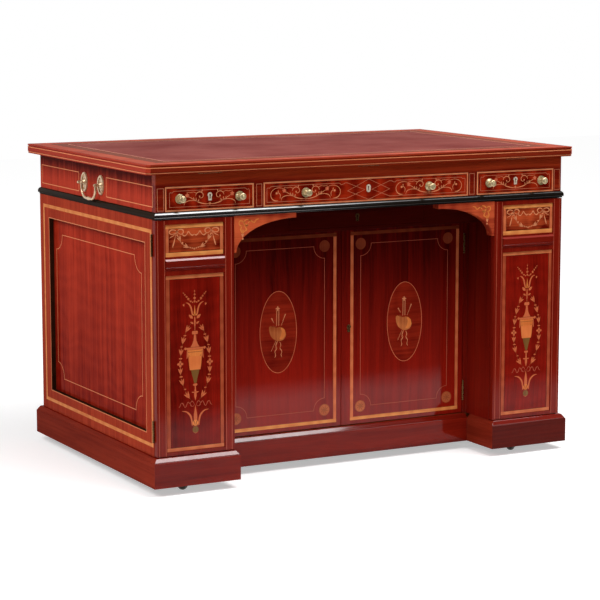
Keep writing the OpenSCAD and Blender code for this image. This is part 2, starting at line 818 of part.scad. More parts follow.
module apron_drawer_box() {
    drawer_box(0, apron_drawer_w, apron_y, apron_drawer_z + 0.3, apron_drawer_h - 6,
               apron_drawer_len, apron_t);
}

module apron_drawer_brass() {
    z = apron_drawer_z + apron_drawer_h / 2;
    color(brass) {
        escutcheon(0, apron_y, z);
        lock_case(0, apron_y + apron_t, z, lock_w, lock_h);
    }
}

module spandrels() {
    arc_h = spandrel_drop - spandrel_tip_h;
    color(satinwood) both() translate([knee_x - 1, -carcase_y + spandrel_t, waist_z])
        rotate([90, 0, 0]) linear_extrude(spandrel_t) difference() {
            translate([-spandrel_l, -spandrel_drop]) square([spandrel_l, spandrel_drop]);
            translate([-spandrel_l, -spandrel_drop]) scale([(spandrel_l - 6) / arc_h, 1])
                circle(r = arc_h, $fn = 96);
        }
}

// Pedestal doors: a frame with two sunk panels and a moulded rail between them
door_lo = floor_z + 2;
door_hi = waist_z - door_gap;
urn_lo = door_lo + door_bottom_rail_h;
festoon_hi = door_hi - door_top_rail_h;
festoon_lo = festoon_hi - festoon_h;
urn_hi = festoon_lo - door_rail_h;
panel_x = [knee_x + door_stile_w, carcase_x - door_stile_w];
bead_w = 3;

module door_frame() {
    front = -carcase_y;
    color(mahogany) {
        difference() {
            board([knee_x, carcase_x], [front, door_back_y], [door_lo, door_hi]);
            board(panel_x, [front - 1, front + door_panel_sunk + door_panel_t], [urn_lo, urn_hi]);
            board(panel_x, [front - 1, front + door_panel_sunk + door_panel_t],
                  [festoon_lo, festoon_hi]);
        }
        translate([panel_x[0], front, festoon_lo - rail_strip_h]) rotate([90, 0, 90])
            linear_extrude(panel_x[1] - panel_x[0]) difference() {
                polygon([[0, 0], [-ledge_proud, -1.5 * ledge_proud],
                         [-ledge_proud, bead_w - ledge_h], [-ledge_proud / 2, bead_w - ledge_h],
                         [-ledge_proud / 2, -ledge_h], [0, -ledge_h]]);
                translate([-ledge_proud, 2 * bead_w - ledge_h]) circle(r = 0.8);
            }
    }
}

module door_panel_pair() {
    front = -carcase_y + door_panel_sunk;
    color(mahogany) {
        board(panel_x, [front, front + door_panel_t], [urn_lo, urn_hi]);
        board(panel_x, [front, front + door_panel_t], [festoon_lo, festoon_hi]);
    }
}

module left_door() { mirror([1, 0, 0]) door_frame(); }
module right_door() { door_frame(); }
module left_door_panels() { mirror([1, 0, 0]) door_panel_pair(); }
module right_door_panels() { door_panel_pair(); }

// Door hinges: knuckles on the outer back edge, leaves in the gap behind the door
door_hinge_x = carcase_x + knuckle_r + 0.2;
door_hinge_y = door_back_y + hinge_gap / 2;
door_hinge_z = [door_lo + hinge_from_end, door_hi - hinge_from_end];

module at_door_hinge(k) {
    translate([door_hinge_x, door_hinge_y, door_hinge_z[k] - hinge_len / 2]) mirror([1, 0, 0])
        children();
}

module door_hinge_pair() {
    color(brass) for (k = [0, 1]) at_door_hinge(k) swinging_leaf(hinge_len, -1);
}

module right_door_hinges() { door_hinge_pair(); }
module left_door_hinges() { mirror([1, 0, 0]) door_hinge_pair(); }

// Plan cupboard doors: flat boards that hang on the hanging stiles
plan_x = knee_x - hanging_stile_w - hinge_gap;
plan_hinge_x = plan_x + hinge_gap / 2;
plan_hinge_y = plan_y - knuckle_r - 0.3;
plan_lo = floor_z + 2;
plan_hi = apron_z - 2;
plan_hinge_z = [plan_lo + hinge_from_end, plan_hi - hinge_from_end];
meeting_x = -meeting_offset;
key_x = meeting_x + 21.5;
key_z = (plan_lo + plan_hi) / 2 - 4;

module plan_door(x) {
    color(mahogany) difference() {
        board(x, [plan_y, plan_y + plan_door_t], [plan_lo, plan_hi]);
        if (x[1] > 0) keyhole(key_x, plan_y, key_z, plan_door_t);
    }
}

module left_plan_door() { plan_door([-plan_x, meeting_x - door_gap / 2]); }
module right_plan_door() { plan_door([meeting_x + door_gap / 2, plan_x]); }

// The plan doors' hinges: the knuckles stand in front and the leaves go back beside the door
module at_plan_hinge(k) {
    translate([plan_hinge_x, plan_hinge_y, plan_hinge_z[k] - hinge_len / 2]) rotate([0, 0, 90])
        children();
}

module plan_hinge_pair() {
    for (k = [0, 1]) at_plan_hinge(k) swinging_leaf(hinge_len, 1);
}

module left_plan_door_hinges() { color(brass) mirror([1, 0, 0]) plan_hinge_pair(); }

module right_plan_door_brass() {
    color(brass) {
        plan_hinge_pair();
        escutcheon(key_x, plan_y, key_z);
        lock_case(key_x, plan_y + plan_door_t, key_z, lock_h, lock_w);
    }
}

// Every leaf that is screwed to the carcase, with its pin
module hinge_leaves() {
    color(brass) {
        both() {
            for (k = [0, 1]) {
                at_door_hinge(k) pinned_leaf(hinge_len, 1);
                at_plan_hinge(k) pinned_leaf(hinge_len, -1);
            }
        }
        for (x = top_hinge_x)
            along_top(x) mirror([0, 1, 0]) pinned_leaf(top_hinge_len, 1);
    }
}

// Side handles: oval backplates with ball posts, and a bail that hangs between the balls
handle_h = frieze_z + handle_z;
bail_axis_x = frieze_x + bail_reach;
pivot_r = 1.5;
pivot_deep = 1.5;

// Oval of four arcs that run into each other, its long axis along X
module oval(length, width) {
    end_r = 0.32 * width;
    end_x = length / 2 - end_r;
    side_r = (end_x * end_x + width * width / 4 - end_r * end_r) / (width - 2 * end_r);
    tangent_x = end_x * side_r / (side_r - end_r);
    intersection() {
        translate([0, side_r - width / 2]) circle(r = side_r, $fn = 160);
        translate([0, width / 2 - side_r]) circle(r = side_r, $fn = 160);
        square([2 * tangent_x, width], center = true);
    }
    for (s = [-1, 1]) translate([s * end_x, 0]) circle(r = end_r);
}

module handle_post() {
    plate_t = 1.5;
    foot_r = 2.1 * post_r;
    foot_h = bail_reach - post_r - 1;
    linear_extrude(plate_t) oval(backplate_h, backplate_w);
    linear_extrude(rim_h) difference() {
        oval(backplate_h - 2, backplate_w - 2);
        oval(backplate_h - 2 - 2 * rim_w, backplate_w - 2 - 2 * rim_w);
    }
    rotate_extrude() difference() {
        union() {
            polygon([[0, 0], [foot_r, 0], [foot_r, plate_t + 1], [post_r, foot_h], [0, foot_h]]);
            square([post_r, bail_reach + post_r]);
            square([0.7 * post_r, post_reach]);
            translate([0, post_reach]) circle(r = ball_r);
        }
        translate([-2 * foot_r, 0]) square([2 * foot_r, 2 * post_reach]);
    }
}

module handle_posts() {
    color(brass) for (side = [-1, 1], s = [-1, 1])
        translate([side * frieze_x, handle_back + s * handle_gauge / 2, handle_h])
            rotate([0, side * 90, 0]) difference() {
                handle_post();
                translate([0, -s * (post_r + 1), bail_reach]) rotate([s * -90, 0, 0])
                    cylinder(r = pivot_r + running, h = post_r + pivot_deep + 1.1);
            }
}

module bail() {
    half = handle_gauge / 2 - post_r - bail_r - 0.6;
    low = handle_h - bail_drop;
    swell_len = 14;
    translate([bail_axis_x, handle_back, 0]) {
        for (s = [-1, 1]) {
            translate([0, s * half, low + bail_bend]) cylinder(r = bail_r, h = bail_drop - bail_bend);
            translate([0, s * half, handle_h]) sphere(r = bail_r + 0.2);
            translate([0, s * half, handle_h]) rotate([-s * 90, 0, 0])
                cylinder(r = pivot_r, h = bail_r + 0.6 + post_r + pivot_deep);
            translate([0, s * (half - bail_bend), low + bail_bend])
                rotate([90, 0, 90]) rotate([0, 0, s > 0 ? 270 : 180])
                rotate_extrude(angle = 90, $fn = 96) translate([bail_bend, 0]) circle(r = bail_r);
        }
        translate([0, bail_bend - half, low]) rotate([-90, 0, 0])
            cylinder(r = bail_r, h = 2 * (half - bail_bend));
        translate([0, 0, low]) rotate([-90, 0, 0]) translate([0, 0, -swell_len]) rotate_extrude()
            polygon([[0, 0], [bail_r - 0.2, 0], [bail_r + 0.7 * bail_swell, 0.7 * swell_len],
                     [bail_r + bail_swell, swell_len], [bail_r + 0.7 * bail_swell, 1.3 * swell_len],
                     [bail_r - 0.2, 2 * swell_len], [0, 2 * swell_len]]);
    }
}

module right_bail() { color(brass) bail(); }
module left_bail() { color(brass) mirror([1, 0, 0]) bail(); }

// Castors inside the plinth: blocks, plates, horns that swivel and wheels
castor_x = knee_x + pedestal_w / 2;
castor_y = plinth_y - castor_in;
block_w = 2 * (castor_in - plinth_t);
plate_z = 58;
castor_plate_t = 3;
stem_r = 5;
axle_r = 3;
cheek_t = 3;

module at_castors() {
    for (x = [-castor_x, castor_x], y = [-castor_y, castor_y]) translate([x, y, 0]) children();
}

module castor_blocks() {
    color(inner_wood) at_castors()
        board([-block_w / 2, block_w / 2], [-block_w / 2, block_w / 2],
              [plate_z + castor_plate_t, floor_z - floor_t]);
}

module castor_plates() {
    color(iron) at_castors() difference() {
        union() {
            board([-26, 26], [-26, 26], [plate_z, plate_z + castor_plate_t]);
            translate([0, 0, plate_z - 4]) cylinder(r = 11, h = 5);
        }
        translate([0, 0, plate_z - 5]) cylinder(r = stem_r + running, h = castor_plate_t + 4);
    }
}

module castor_horn(x, y) {
    crown_z = 2 * wheel_r + 3;
    gap = wheel_w / 2 + 0.6;
    color(iron) translate([x, y, 0]) rotate([0, 0, 180 + castor_turn]) {
        translate([0, 0, crown_z]) cylinder(r = stem_r, h = plate_z + castor_plate_t - 2 - crown_z);
        translate([0, 0, crown_z]) cylinder(r = 10, h = plate_z - 4.5 - crown_z);
        board([-6, trail + 8], [-gap - cheek_t, gap + cheek_t], [crown_z, crown_z + 4]);
        for (s = [-1, 1]) {
            lo = s > 0 ? gap : -gap - cheek_t;
            board([trail - 8, trail + 8], [lo, lo + cheek_t], [wheel_r - 2, crown_z + 1]);
            translate([trail, lo, wheel_r]) rotate([-90, 0, 0]) cylinder(r = 8, h = cheek_t);
        }
        translate([trail, -gap - 1, wheel_r]) rotate([-90, 0, 0]) cylinder(r = axle_r, h = 2 * gap + 2);
    }
}

module castor_wheel(x, y) {
    barrel_r = wheel_r - tread_round;
    flat_w = wheel_w - 2 * tread_round;
    color(iron) translate([x, y, 0]) rotate([0, 0, 180 + castor_turn])
        translate([trail, 0, wheel_r]) rotate([90, 0, 0]) rotate_extrude($fn = 72) {
            translate([axle_r + running, -wheel_w / 2])
                square([barrel_r - axle_r - running, wheel_w]);
            translate([axle_r + 1, -flat_w / 2])
                square([wheel_r - axle_r - 1, flat_w]);
            for (s = [-1, 1])
                translate([barrel_r, s * flat_w / 2]) circle(r = tread_round);
        }
}

module castor_horn_fl() { castor_horn(-castor_x, -castor_y); }
module castor_horn_fr() { castor_horn(castor_x, -castor_y); }
module castor_horn_bl() { castor_horn(-castor_x, castor_y); }
module castor_horn_br() { castor_horn(castor_x, castor_y); }
module castor_wheel_fl() { castor_wheel(-castor_x, -castor_y); }
module castor_wheel_fr() { castor_wheel(castor_x, -castor_y); }
module castor_wheel_bl() { castor_wheel(-castor_x, castor_y); }
module castor_wheel_br() { castor_wheel(castor_x, castor_y); }

top_slab();
top_leather();
top_brackets();
easel_strut();
ratchet_racks();
frieze_front();
frieze_sides();
frieze_back();
drawer_partitions();
sub_top();
waist_moulding();
deck_board();
left_drawer_front();
left_drawer_box();
left_drawer_brass();
middle_drawer_front();
middle_drawer_box();
middle_drawer_brass();
right_drawer_front();
right_drawer_box();
right_drawer_brass();
side_frames();
side_panels();
back_frame();
back_panels();
inner_sides();
shelves();
plinth();
floor_board();
castor_blocks();
apron();
apron_floor();
apron_drawer_front();
apron_drawer_box();
apron_drawer_brass();
spandrels();
left_door();
left_door_panels();
left_door_hinges();
right_door();
right_door_panels();
right_door_hinges();
left_plan_door();
left_plan_door_hinges();
right_plan_door();
right_plan_door_brass();
hinge_leaves();
handle_posts();
left_bail();
right_bail();
castor_plates();
castor_horn_fl();
castor_wheel_fl();
castor_horn_fr();
castor_wheel_fr();
castor_horn_bl();
castor_wheel_bl();
castor_horn_br();
castor_wheel_br();
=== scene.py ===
# Architect's desk: polish, marquetry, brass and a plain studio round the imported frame
import json
import math

import bmesh
import bpy
from mathutils import Euler, Matrix, Vector


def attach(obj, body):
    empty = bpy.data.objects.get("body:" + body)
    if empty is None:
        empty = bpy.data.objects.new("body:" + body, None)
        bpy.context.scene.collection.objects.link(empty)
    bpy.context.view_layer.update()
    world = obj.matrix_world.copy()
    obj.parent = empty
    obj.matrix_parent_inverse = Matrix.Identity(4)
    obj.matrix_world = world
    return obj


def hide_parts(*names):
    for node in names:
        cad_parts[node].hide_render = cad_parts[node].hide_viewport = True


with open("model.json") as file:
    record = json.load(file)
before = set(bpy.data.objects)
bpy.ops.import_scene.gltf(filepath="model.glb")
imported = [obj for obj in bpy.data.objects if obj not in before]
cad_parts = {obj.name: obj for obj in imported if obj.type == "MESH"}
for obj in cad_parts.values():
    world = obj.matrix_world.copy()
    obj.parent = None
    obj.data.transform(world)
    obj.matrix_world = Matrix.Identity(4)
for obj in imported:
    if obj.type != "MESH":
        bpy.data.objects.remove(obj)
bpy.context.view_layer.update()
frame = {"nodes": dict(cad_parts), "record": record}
nodes = frame["nodes"]
bodyOf = {n: body for body, members in frame["record"]["behaviour"]["bodies"].items() for n in members}
mm = 0.001
print("frame loaded,", len(nodes), "nodes")

# Camera at the photograph's angle, in metres and degrees
cameraLook = {"place": (-2.6200, -4.9139, 1.2040), "tilt": 81.597, "turn": -28.111, "lens": 129.68,
              "sensor": 36}
camera = bpy.data.objects.new("camera", bpy.data.cameras.new("camera"))
bpy.context.scene.collection.objects.link(camera)
camera.location = cameraLook["place"]
camera.rotation_euler = Euler((math.radians(cameraLook["tilt"]), 0, math.radians(cameraLook["turn"])))
camera.data.lens = cameraLook["lens"]
camera.data.sensor_width = cameraLook["sensor"]
bpy.context.scene.camera = camera
bpy.context.scene.view_settings.view_transform = "Standard"


# Shader building helpers
def tone(r, g, b):
    # a colour written from 0 to 255, as Blender's linear values
    linear = ((c / 255) / 12.92 if c < 11 else ((c / 255 + 0.055) / 1.055) ** 2.4 for c in (r, g, b))
    return (*linear, 1)


def feed(tree, sockets, values):
    # each named socket takes a link from another node or a plain value
    for key, value in values.items():
        if isinstance(value, bpy.types.NodeSocket):
            tree.links.new(value, sockets[key])
        else:
            sockets[key].default_value = value


def addNode(tree, kind, inputs=None, **settings):
    made = tree.nodes.new(kind)
    for key, value in settings.items():
        setattr(made, key, value)
    feed(tree, made.inputs, inputs or {})
    return made


def newGroup(name, inputs, outputs):
    group = bpy.data.node_groups.new(name, "ShaderNodeTree")
    for label, kind, value in inputs:
        socket = group.interface.new_socket(name=label, in_out="INPUT", socket_type=kind)
        if value is not None:
            socket.default_value = value
    for label, kind in outputs:
        group.interface.new_socket(name=label, in_out="OUTPUT", socket_type=kind)
    return group, group.nodes.new("NodeGroupInput").outputs, group.nodes.new("NodeGroupOutput").inputs


def noiseOn(tree, vector, stretch, detail=3, rough=0.5, distort=0.0):
    scaled = addNode(tree, "ShaderNodeMapping", {"Vector": vector, "Scale": stretch})
    return addNode(tree, "ShaderNodeTexNoise",
                   {"Vector": scaled.outputs["Vector"], "Scale": 1, "Detail": detail,
                    "Roughness": rough, "Distortion": distort}).outputs["Fac"]


def blended(tree, factor, a, b, kind="MIX"):
    # the Mix node's colour sockets have the same names as its other ones, so they go by number
    mixer = addNode(tree, "ShaderNodeMix", data_type="RGBA", blend_type=kind)
    feed(tree, mixer.inputs, {0: factor, 6: a, 7: b})
    return mixer.outputs[2]


def sums(tree, operation, *values):
    return addNode(tree, "ShaderNodeMath", dict(enumerate(values)), operation=operation).outputs[0]


def times(tree, a, b):
    return sums(tree, "MULTIPLY", a, b)


def plus(tree, a, b):
    return sums(tree, "ADD", a, b)


def ranged(tree, value, low, high, toLow=0.0, toHigh=1.0):
    return addNode(tree, "ShaderNodeMapRange",
                   {"Value": value, "From Min": low, "From Max": high,
                    "To Min": toLow, "To Max": toHigh}).outputs["Result"]


# Wood figure: the grain runs along X of the vector that comes in
def makeWoodFigure():
    group, given, out = newGroup(
        "woodFigure",
        [("Vector", "NodeSocketVector", None), ("Pale", "NodeSocketColor", (0.3, 0.05, 0.03, 1)),
         ("Dark", "NodeSocketColor", (0.1, 0.01, 0.01, 1)), ("Stripe", "NodeSocketFloat", 1.0),
         ("Flame", "NodeSocketFloat", 0.0), ("Pores", "NodeSocketFloat", 0.4),
         ("Lift", "NodeSocketFloat", 0.0)],
        [("Color", "NodeSocketColor"), ("Roughness", "NodeSocketFloat"), ("Height", "NodeSocketFloat")])
    vector = given["Vector"]
    drift = times(group, noiseOn(group, vector, (1.6, 3.5, 3.5), 2), 0.05)
    push = addNode(group, "ShaderNodeCombineXYZ", {"Y": drift, "Z": drift})
    bent = addNode(group, "ShaderNodeVectorMath", {0: vector, 1: push.outputs[0]}, operation="ADD").outputs[0]
    rings = noiseOn(group, bent, (1.3, 46, 46), 4, 0.6, 0.3)
    streaks = noiseOn(group, bent, (2.5, 150, 150), 3, 0.6)
    fibres = noiseOn(group, bent, (9, 420, 420), 3, 0.6)
    broad = noiseOn(group, vector, (1.1, 5, 5), 2)
    pores = noiseOn(group, bent, (55, 1500, 1500), 1)
    spread = addNode(group, "ShaderNodeMapping", {"Vector": vector, "Scale": (7, 5, 5)})
    wave = addNode(group, "ShaderNodeTexWave",
                   {"Vector": spread.outputs["Vector"], "Scale": 1, "Distortion": 9, "Detail": 4,
                    "Detail Scale": 1.6}, bands_direction="X")
    lines = plus(group, rings, times(group, streaks, 0.6))
    stripe = times(group, sums(group, "SUBTRACT", lines, 0.8), given["Stripe"])
    flame = times(group, sums(group, "SUBTRACT", wave.outputs["Fac"], 0.5), given["Flame"])
    figured = plus(group, plus(group, stripe, flame), given["Lift"])
    tint = plus(group, figured, plus(group, times(group, fibres, 0.35), times(group, broad, 0.65)))
    colour = blended(group, ranged(group, tint, 0.1, 0.9), given["Dark"], given["Pale"])
    holes = times(group, ranged(group, pores, 0.62, 0.72), given["Pores"])
    shaded = blended(group, 1.0, colour, (0.45, 0.4, 0.4, 1), "MULTIPLY")
    feed(group, out, {"Color": blended(group, holes, colour, shaded),
                      "Roughness": ranged(group, fibres, 0.2, 0.8, 0.30, 0.44),
                      "Height": sums(group, "SUBTRACT", times(group, fibres, 0.3), holes)})
    return group


# Hand polish: a faint ripple in the lacquer, with rubbed and dusty places
def makePolish():
    group, given, out = newGroup(
        "handPolish",
        [("Vector", "NodeSocketVector", None), ("Ripple", "NodeSocketFloat", 1.0),
         ("Height", "NodeSocketFloat", 0.0), ("Gloss", "NodeSocketFloat", 0.3)],
        [("Height", "NodeSocketFloat"), ("Coat", "NodeSocketFloat")])
    ripple = noiseOn(group, given["Vector"], (16, 16, 16), 2)
    rubbed = noiseOn(group, given["Vector"], (30, 30, 30), 5, 0.65)
    swell = times(group, ripple, given["Ripple"])
    feed(group, out, {"Height": plus(group, swell, times(group, given["Height"], 0.05)),
                      "Coat": times(group, ranged(group, rubbed, 0.3, 0.7, 1.0, 0.75), given["Gloss"])})
    return group


# Tarnish on metal: brown in the hollows and streaks, bright where hands rub
def makeTarnish():
    group, given, out = newGroup(
        "tarnish",
        [("Vector", "NodeSocketVector", None), ("Bright", "NodeSocketColor", (0.7, 0.6, 0.4, 1)),
         ("Tarnished", "NodeSocketColor", (0.2, 0.15, 0.08, 1)), ("Amount", "NodeSocketFloat", 0.5),
         ("Size", "NodeSocketFloat", 120.0)],
        [("Color", "NodeSocketColor"), ("Roughness", "NodeSocketFloat"), ("Height", "NodeSocketFloat")])
    blots = addNode(group, "ShaderNodeTexNoise",
                    {"Vector": given["Vector"], "Scale": given["Size"], "Detail": 6,
                     "Roughness": 0.65}).outputs["Fac"]
    specks = noiseOn(group, given["Vector"], (900, 900, 900), 2)
    mask = times(group, ranged(group, blots, 0.42, 0.68), given["Amount"])
    worn = plus(group, mask, times(group, specks, 0.2))
    feed(group, out, {"Color": blended(group, mask, given["Bright"], given["Tarnished"]),
                      "Roughness": ranged(group, worn, 0, 1.2, 0.2, 0.6),
                      "Height": plus(group, blots, times(group, specks, 0.3))})
    return group


woodFigure = makeWoodFigure()
handPolish = makePolish()
tarnish = makeTarnish()
finishes = {}  # every material by its name


def newMaterial(name):
    material = bpy.data.materials.new(name)
    material.use_nodes = True
    finishes[name] = material
    return material.node_tree, material.node_tree.nodes["Principled BSDF"]


def placed(tree, turn=(0, 0, 0), shift=(0, 0, 0)):
    spot = addNode(tree, "ShaderNodeTexCoord")
    return addNode(tree, "ShaderNodeMapping",
                   {"Vector": spot.outputs["Object"], "Rotation": turn, "Location": shift}).outputs["Vector"]


grainTurn = {"x": (0, 0, 0), "y": (0, 0, math.radians(-90)), "z": (0, math.radians(90), 0)}


def paintedLightAndShade(tree, glow):
    # painted light and shade: the veneer is painted lighter round one spot of each pedestal or door and
    # darker away from it
    spot = addNode(tree, "ShaderNodeTexCoord")
    parts = addNode(tree, "ShaderNodeSeparateXYZ", {0: spot.outputs["Object"]})
    across = sums(tree, "SUBTRACT", sums(tree, "ABSOLUTE", parts.outputs["X"]), glow["x"])
    up = sums(tree, "SUBTRACT", parts.outputs["Z"], glow["z"])
    away = addNode(tree, "ShaderNodeCombineXYZ", {
        "X": sums(tree, "DIVIDE", across, glow["wide"]), "Y": sums(tree, "DIVIDE", up, glow["high"])})
    far = addNode(tree, "ShaderNodeVectorMath", {0: away.outputs[0]}, operation="LENGTH").outputs["Value"]
    return ranged(tree, far, 0.3, 1.5, glow["near"], glow["far"])


def makeWood(name, pale, dark, grain="x", stripe=1.0, flame=0.0, pores=0.4, gloss=0.3, ripple=1.0, shift=0.0,
             coatIor=1.52, glow=None, wornFrom=None):
    tree, shader = newMaterial(name)
    along = placed(tree, grainTurn[grain], (shift, shift * 0.7, shift * 0.3))
    figure = addNode(tree, "ShaderNodeGroup", {
        "Vector": along, "Pale": tone(*pale), "Dark": tone(*dark), "Stripe": stripe, "Flame": flame,
        "Pores": pores, "Lift": paintedLightAndShade(tree, glow) if glow else 0.0}, node_tree=woodFigure).outputs
    polish = addNode(tree, "ShaderNodeGroup", {
        "Vector": along, "Height": figure["Height"], "Ripple": ripple, "Gloss": gloss},
        node_tree=handPolish).outputs
    bump = addNode(tree, "ShaderNodeBump", {"Height": polish["Height"], "Strength": 0.35, "Distance": 0.0006})
    coat = polish["Coat"]
    if wornFrom is not None:
        # the polish is worn thinner from this place on towards the right
        spot = addNode(tree, "ShaderNodeSeparateXYZ", {0: placed(tree)})
        coat = times(tree, coat, ranged(tree, spot.outputs["X"], wornFrom, wornFrom + 0.5, 1.0, 0.15))
    feed(tree, shader.inputs, {
        "Base Color": figure["Color"], "Roughness": figure["Roughness"], "IOR": 1.5,
        "Specular IOR Level": 0.0, "Coat Weight": coat, "Coat Roughness": 0.06, "Coat IOR": coatIor,
        "Normal": bump.outputs["Normal"]})


def makeMetal(name, bright, tarnished, amount, size, metallic, dent=0.3):
    tree, shader = newMaterial(name)
    figure = addNode(tree, "ShaderNodeGroup", {
        "Vector": placed(tree), "Bright": tone(*bright), "Tarnished": tone(*tarnished), "Amount": amount,
        "Size": size}, node_tree=tarnish).outputs
    bump = addNode(tree, "ShaderNodeBump", {"Height": figure["Height"], "Strength": dent, "Distance": 0.0003})
    feed(tree, shader.inputs, {
        "Base Color": figure["Color"], "Roughness": figure["Roughness"], "Metallic": metallic,
        "Normal": bump.outputs["Normal"]})


def makeLeather(name, pale, dark):
    tree, shader = newMaterial(name)
    spot = placed(tree)
    cells = addNode(tree, "ShaderNodeTexVoronoi", {"Vector": spot, "Scale": 900}, feature="F1")
    folds = addNode(tree, "ShaderNodeTexNoise", {"Vector": spot, "Scale": 260, "Detail": 4})
    worn = addNode(tree, "ShaderNodeTexNoise",
                   {"Vector": spot, "Scale": 5, "Detail": 5, "Roughness": 0.6}).outputs["Fac"]
    height = plus(tree, times(tree, cells.outputs["Distance"], 0.6), times(tree, folds.outputs["Fac"], 0.5))
    bump = addNode(tree, "ShaderNodeBump", {"Height": height, "Strength": 0.18, "Distance": 0.0002})
    feed(tree, shader.inputs, {
        "Base Color": blended(tree, ranged(tree, worn, 0.35, 0.65), tone(*dark), tone(*pale)),
        "Roughness": ranged(tree, worn, 0.3, 0.7, 0.40, 0.30), "Specular IOR Level": 0.0015,
        "Normal": bump.outputs["Normal"]})


# Each wood: its pale and dark tones, the way of its grain, then stripe, flame, pores, gloss and ripple

# Mahogany of the carcase and its mouldings, with lighter and darker copies for some faces, which paint light
# and shade
makeWood("mahoganyX", (148, 34, 18), (98, 14, 7), "x")
makeWood("mahoganyZ", (148, 34, 18), (98, 14, 7), "z", shift=0.8)
# painted light: the frieze rail is painted lighter along its upper part and darker down towards the drawers
makeWood("railMahogany", (200, 72, 34), (112, 20, 9), "x", shift=1.2,
         glow={"x": 0, "z": 0.756, "wide": 9, "high": 0.018, "near": 0.2, "far": -0.3})
# painted shade: the apron and its drawer front, set back under the frieze, are a darker copy of the mahogany
makeWood("apronPaintedShade", (84, 15, 8), (52, 7, 4), "x", gloss=0.1, shift=1.25)
# painted light: the side faces of the plinth, frame, frieze and panels are lighter copies of the mahogany;
# the frieze side also has a painted shadow under the top, and the side panels are painted lighter at the top
# and darker at the foot
makeWood("plinthSidePaintedLight", (154, 52, 32), (104, 24, 12), "y", gloss=0.05, shift=0.5)
makeWood("sideFramePaintedLight", (190, 70, 42), (136, 36, 20), "z", gloss=0.05, ripple=0.25, shift=0.55)
makeWood("friezeSidePaintedLightAndShadow", (186, 60, 40), (102, 24, 16), "z", 1.2, gloss=0.05, shift=0.6,
         glow={"x": 0.568, "z": 0.68, "wide": 9, "high": 0.062, "near": 0.4, "far": -0.75})
makeWood("sidePanelPaintedLightAndShade", (184, 54, 32), (116, 16, 7), "z", 1.2, 0.1, 0.5, 0.05, 0.25, 0.9,
         glow={"x": 0.57, "z": 0.62, "wide": 9, "high": 0.36, "near": 0.16, "far": -0.2})
# painted shade: the pedestal sides inside the kneehole are a darker copy of the mahogany, painted darker
# still towards the top under the frieze
makeWood("innerSidePaintedShade", (136, 27, 14), (70, 7, 4), "z", 0.7, shift=2.05,
         glow={"x": 0.36, "z": 0.08, "wide": 9, "high": 0.36, "near": 0.15, "far": -0.4})
# painted shade: a dark wood for the returns round the sunk side panels
makeWood("openingPaintedShade", (62, 34, 20), (34, 15, 8), "y", gloss=0.1, shift=0.95)
# painted highlight: a pale copy of the mahogany for the sloping upper edges of the door rails
makeWood("paintedHighlightEdge", (172, 62, 50), (124, 32, 24), "x", 0.6, gloss=1.0, shift=0.15, coatIor=1.75)
makeWood("plinthShade", (104, 24, 13), (66, 10, 5), "x", gloss=0.15, shift=0.38)
makeWood("polishedMoulding", (134, 28, 13), (92, 11, 5), "x", gloss=1.0, shift=0.2, coatIor=1.75)

# Bands and edges of the top
makeWood("topBandX", (178, 76, 46), (136, 48, 28), "x", 1.4, gloss=0.1, shift=0.6)
makeWood("topBandY", (180, 74, 46), (138, 48, 28), "y", 1.4, gloss=0.1, shift=0.6)
makeWood("topInnerBandX", (130, 60, 36), (94, 40, 23), "x", gloss=0.1, shift=0.1)
makeWood("topInnerBandY", (130, 60, 36), (94, 40, 23), "y", gloss=0.1, shift=0.1)
makeWood("topEdgeWood", (148, 46, 24), (106, 26, 12), "x", gloss=0.1, shift=0.3)
# painted light: the upper part of the top's edge and the ends of the top are lighter copies of the edge wood
makeWood("topEdgePaintedLight", (176, 60, 34), (130, 36, 18), "x", gloss=0.1, shift=0.35)
makeWood("topEdgeSidePaintedLight", (194, 68, 46), (146, 38, 24), "y", gloss=0.1, shift=0.33)

# Figured veneers of the fronts
makeWood("flameMahogany", (172, 42, 17), (88, 7, 3), "x", 0.9, 0.5, 0.25, gloss=0.2, shift=1.3)
# painted light: the festoon ground is painted lighter round the upper middle of each panel and darker towards
# its corners
makeWood("festoonGround", (202, 82, 42), (100, 16, 6), "x", 2.0, 0.2, 0.15, shift=1.35,
         glow={"x": 0.4695, "z": 0.622, "wide": 0.07, "high": 0.028, "near": 0.2, "far": -0.3})
makeWood("urnGround", (154, 27, 14), (82, 7, 3), "z", 1.0, 0.1, 0.3, shift=1.9)
makeWood("ovalGround", (156, 40, 20), (100, 12, 6), "x", 1.3, 0.15, 0.2, gloss=0.4, shift=1.95)
# painted light: each spandrel is painted lighter round its middle and darker away from it
makeWood("curlSpandrel", (214, 94, 54), (146, 42, 26), "x", 1.3, 0.2, 0.15, shift=2.4,
         glow={"x": 0.335, "z": 0.628, "wide": 0.06, "high": 0.03, "near": 0.25, "far": -0.2})
# painted light and shade: the plan doors are painted lighter towards their foot and darker towards the top,
# under the apron
makeWood("planDoorPaintedLightAndShade", (156, 27, 13), (70, 5, 3), "z", 0.7, gloss=0.5, shift=2.1,
         glow={"x": 0.18, "z": 0.1, "wide": 0.8, "high": 0.36, "near": 0.22, "far": -0.45})

# Bandings, strings and roundels
makeWood("satinwoodX", (246, 162, 90), (212, 112, 58), "x", 1.4, 0.3, 0.1, shift=0.2)
makeWood("satinwoodY", (238, 152, 88), (208, 112, 60), "y", 0.9, 0.3, 0.1, 0.1, shift=0.5)
makeWood("satinwoodZ", (192, 88, 54), (152, 60, 36), "z", 0.9, 0.3, 0.1, shift=0.7)
makeWood("warmBandingX", (230, 134, 84), (196, 96, 56), "x", 0.9, 0.3, 0.1, shift=0.73)
makeWood("warmBanding", (230, 126, 80), (196, 92, 54), "z", 0.9, 0.3, 0.1, shift=0.72)
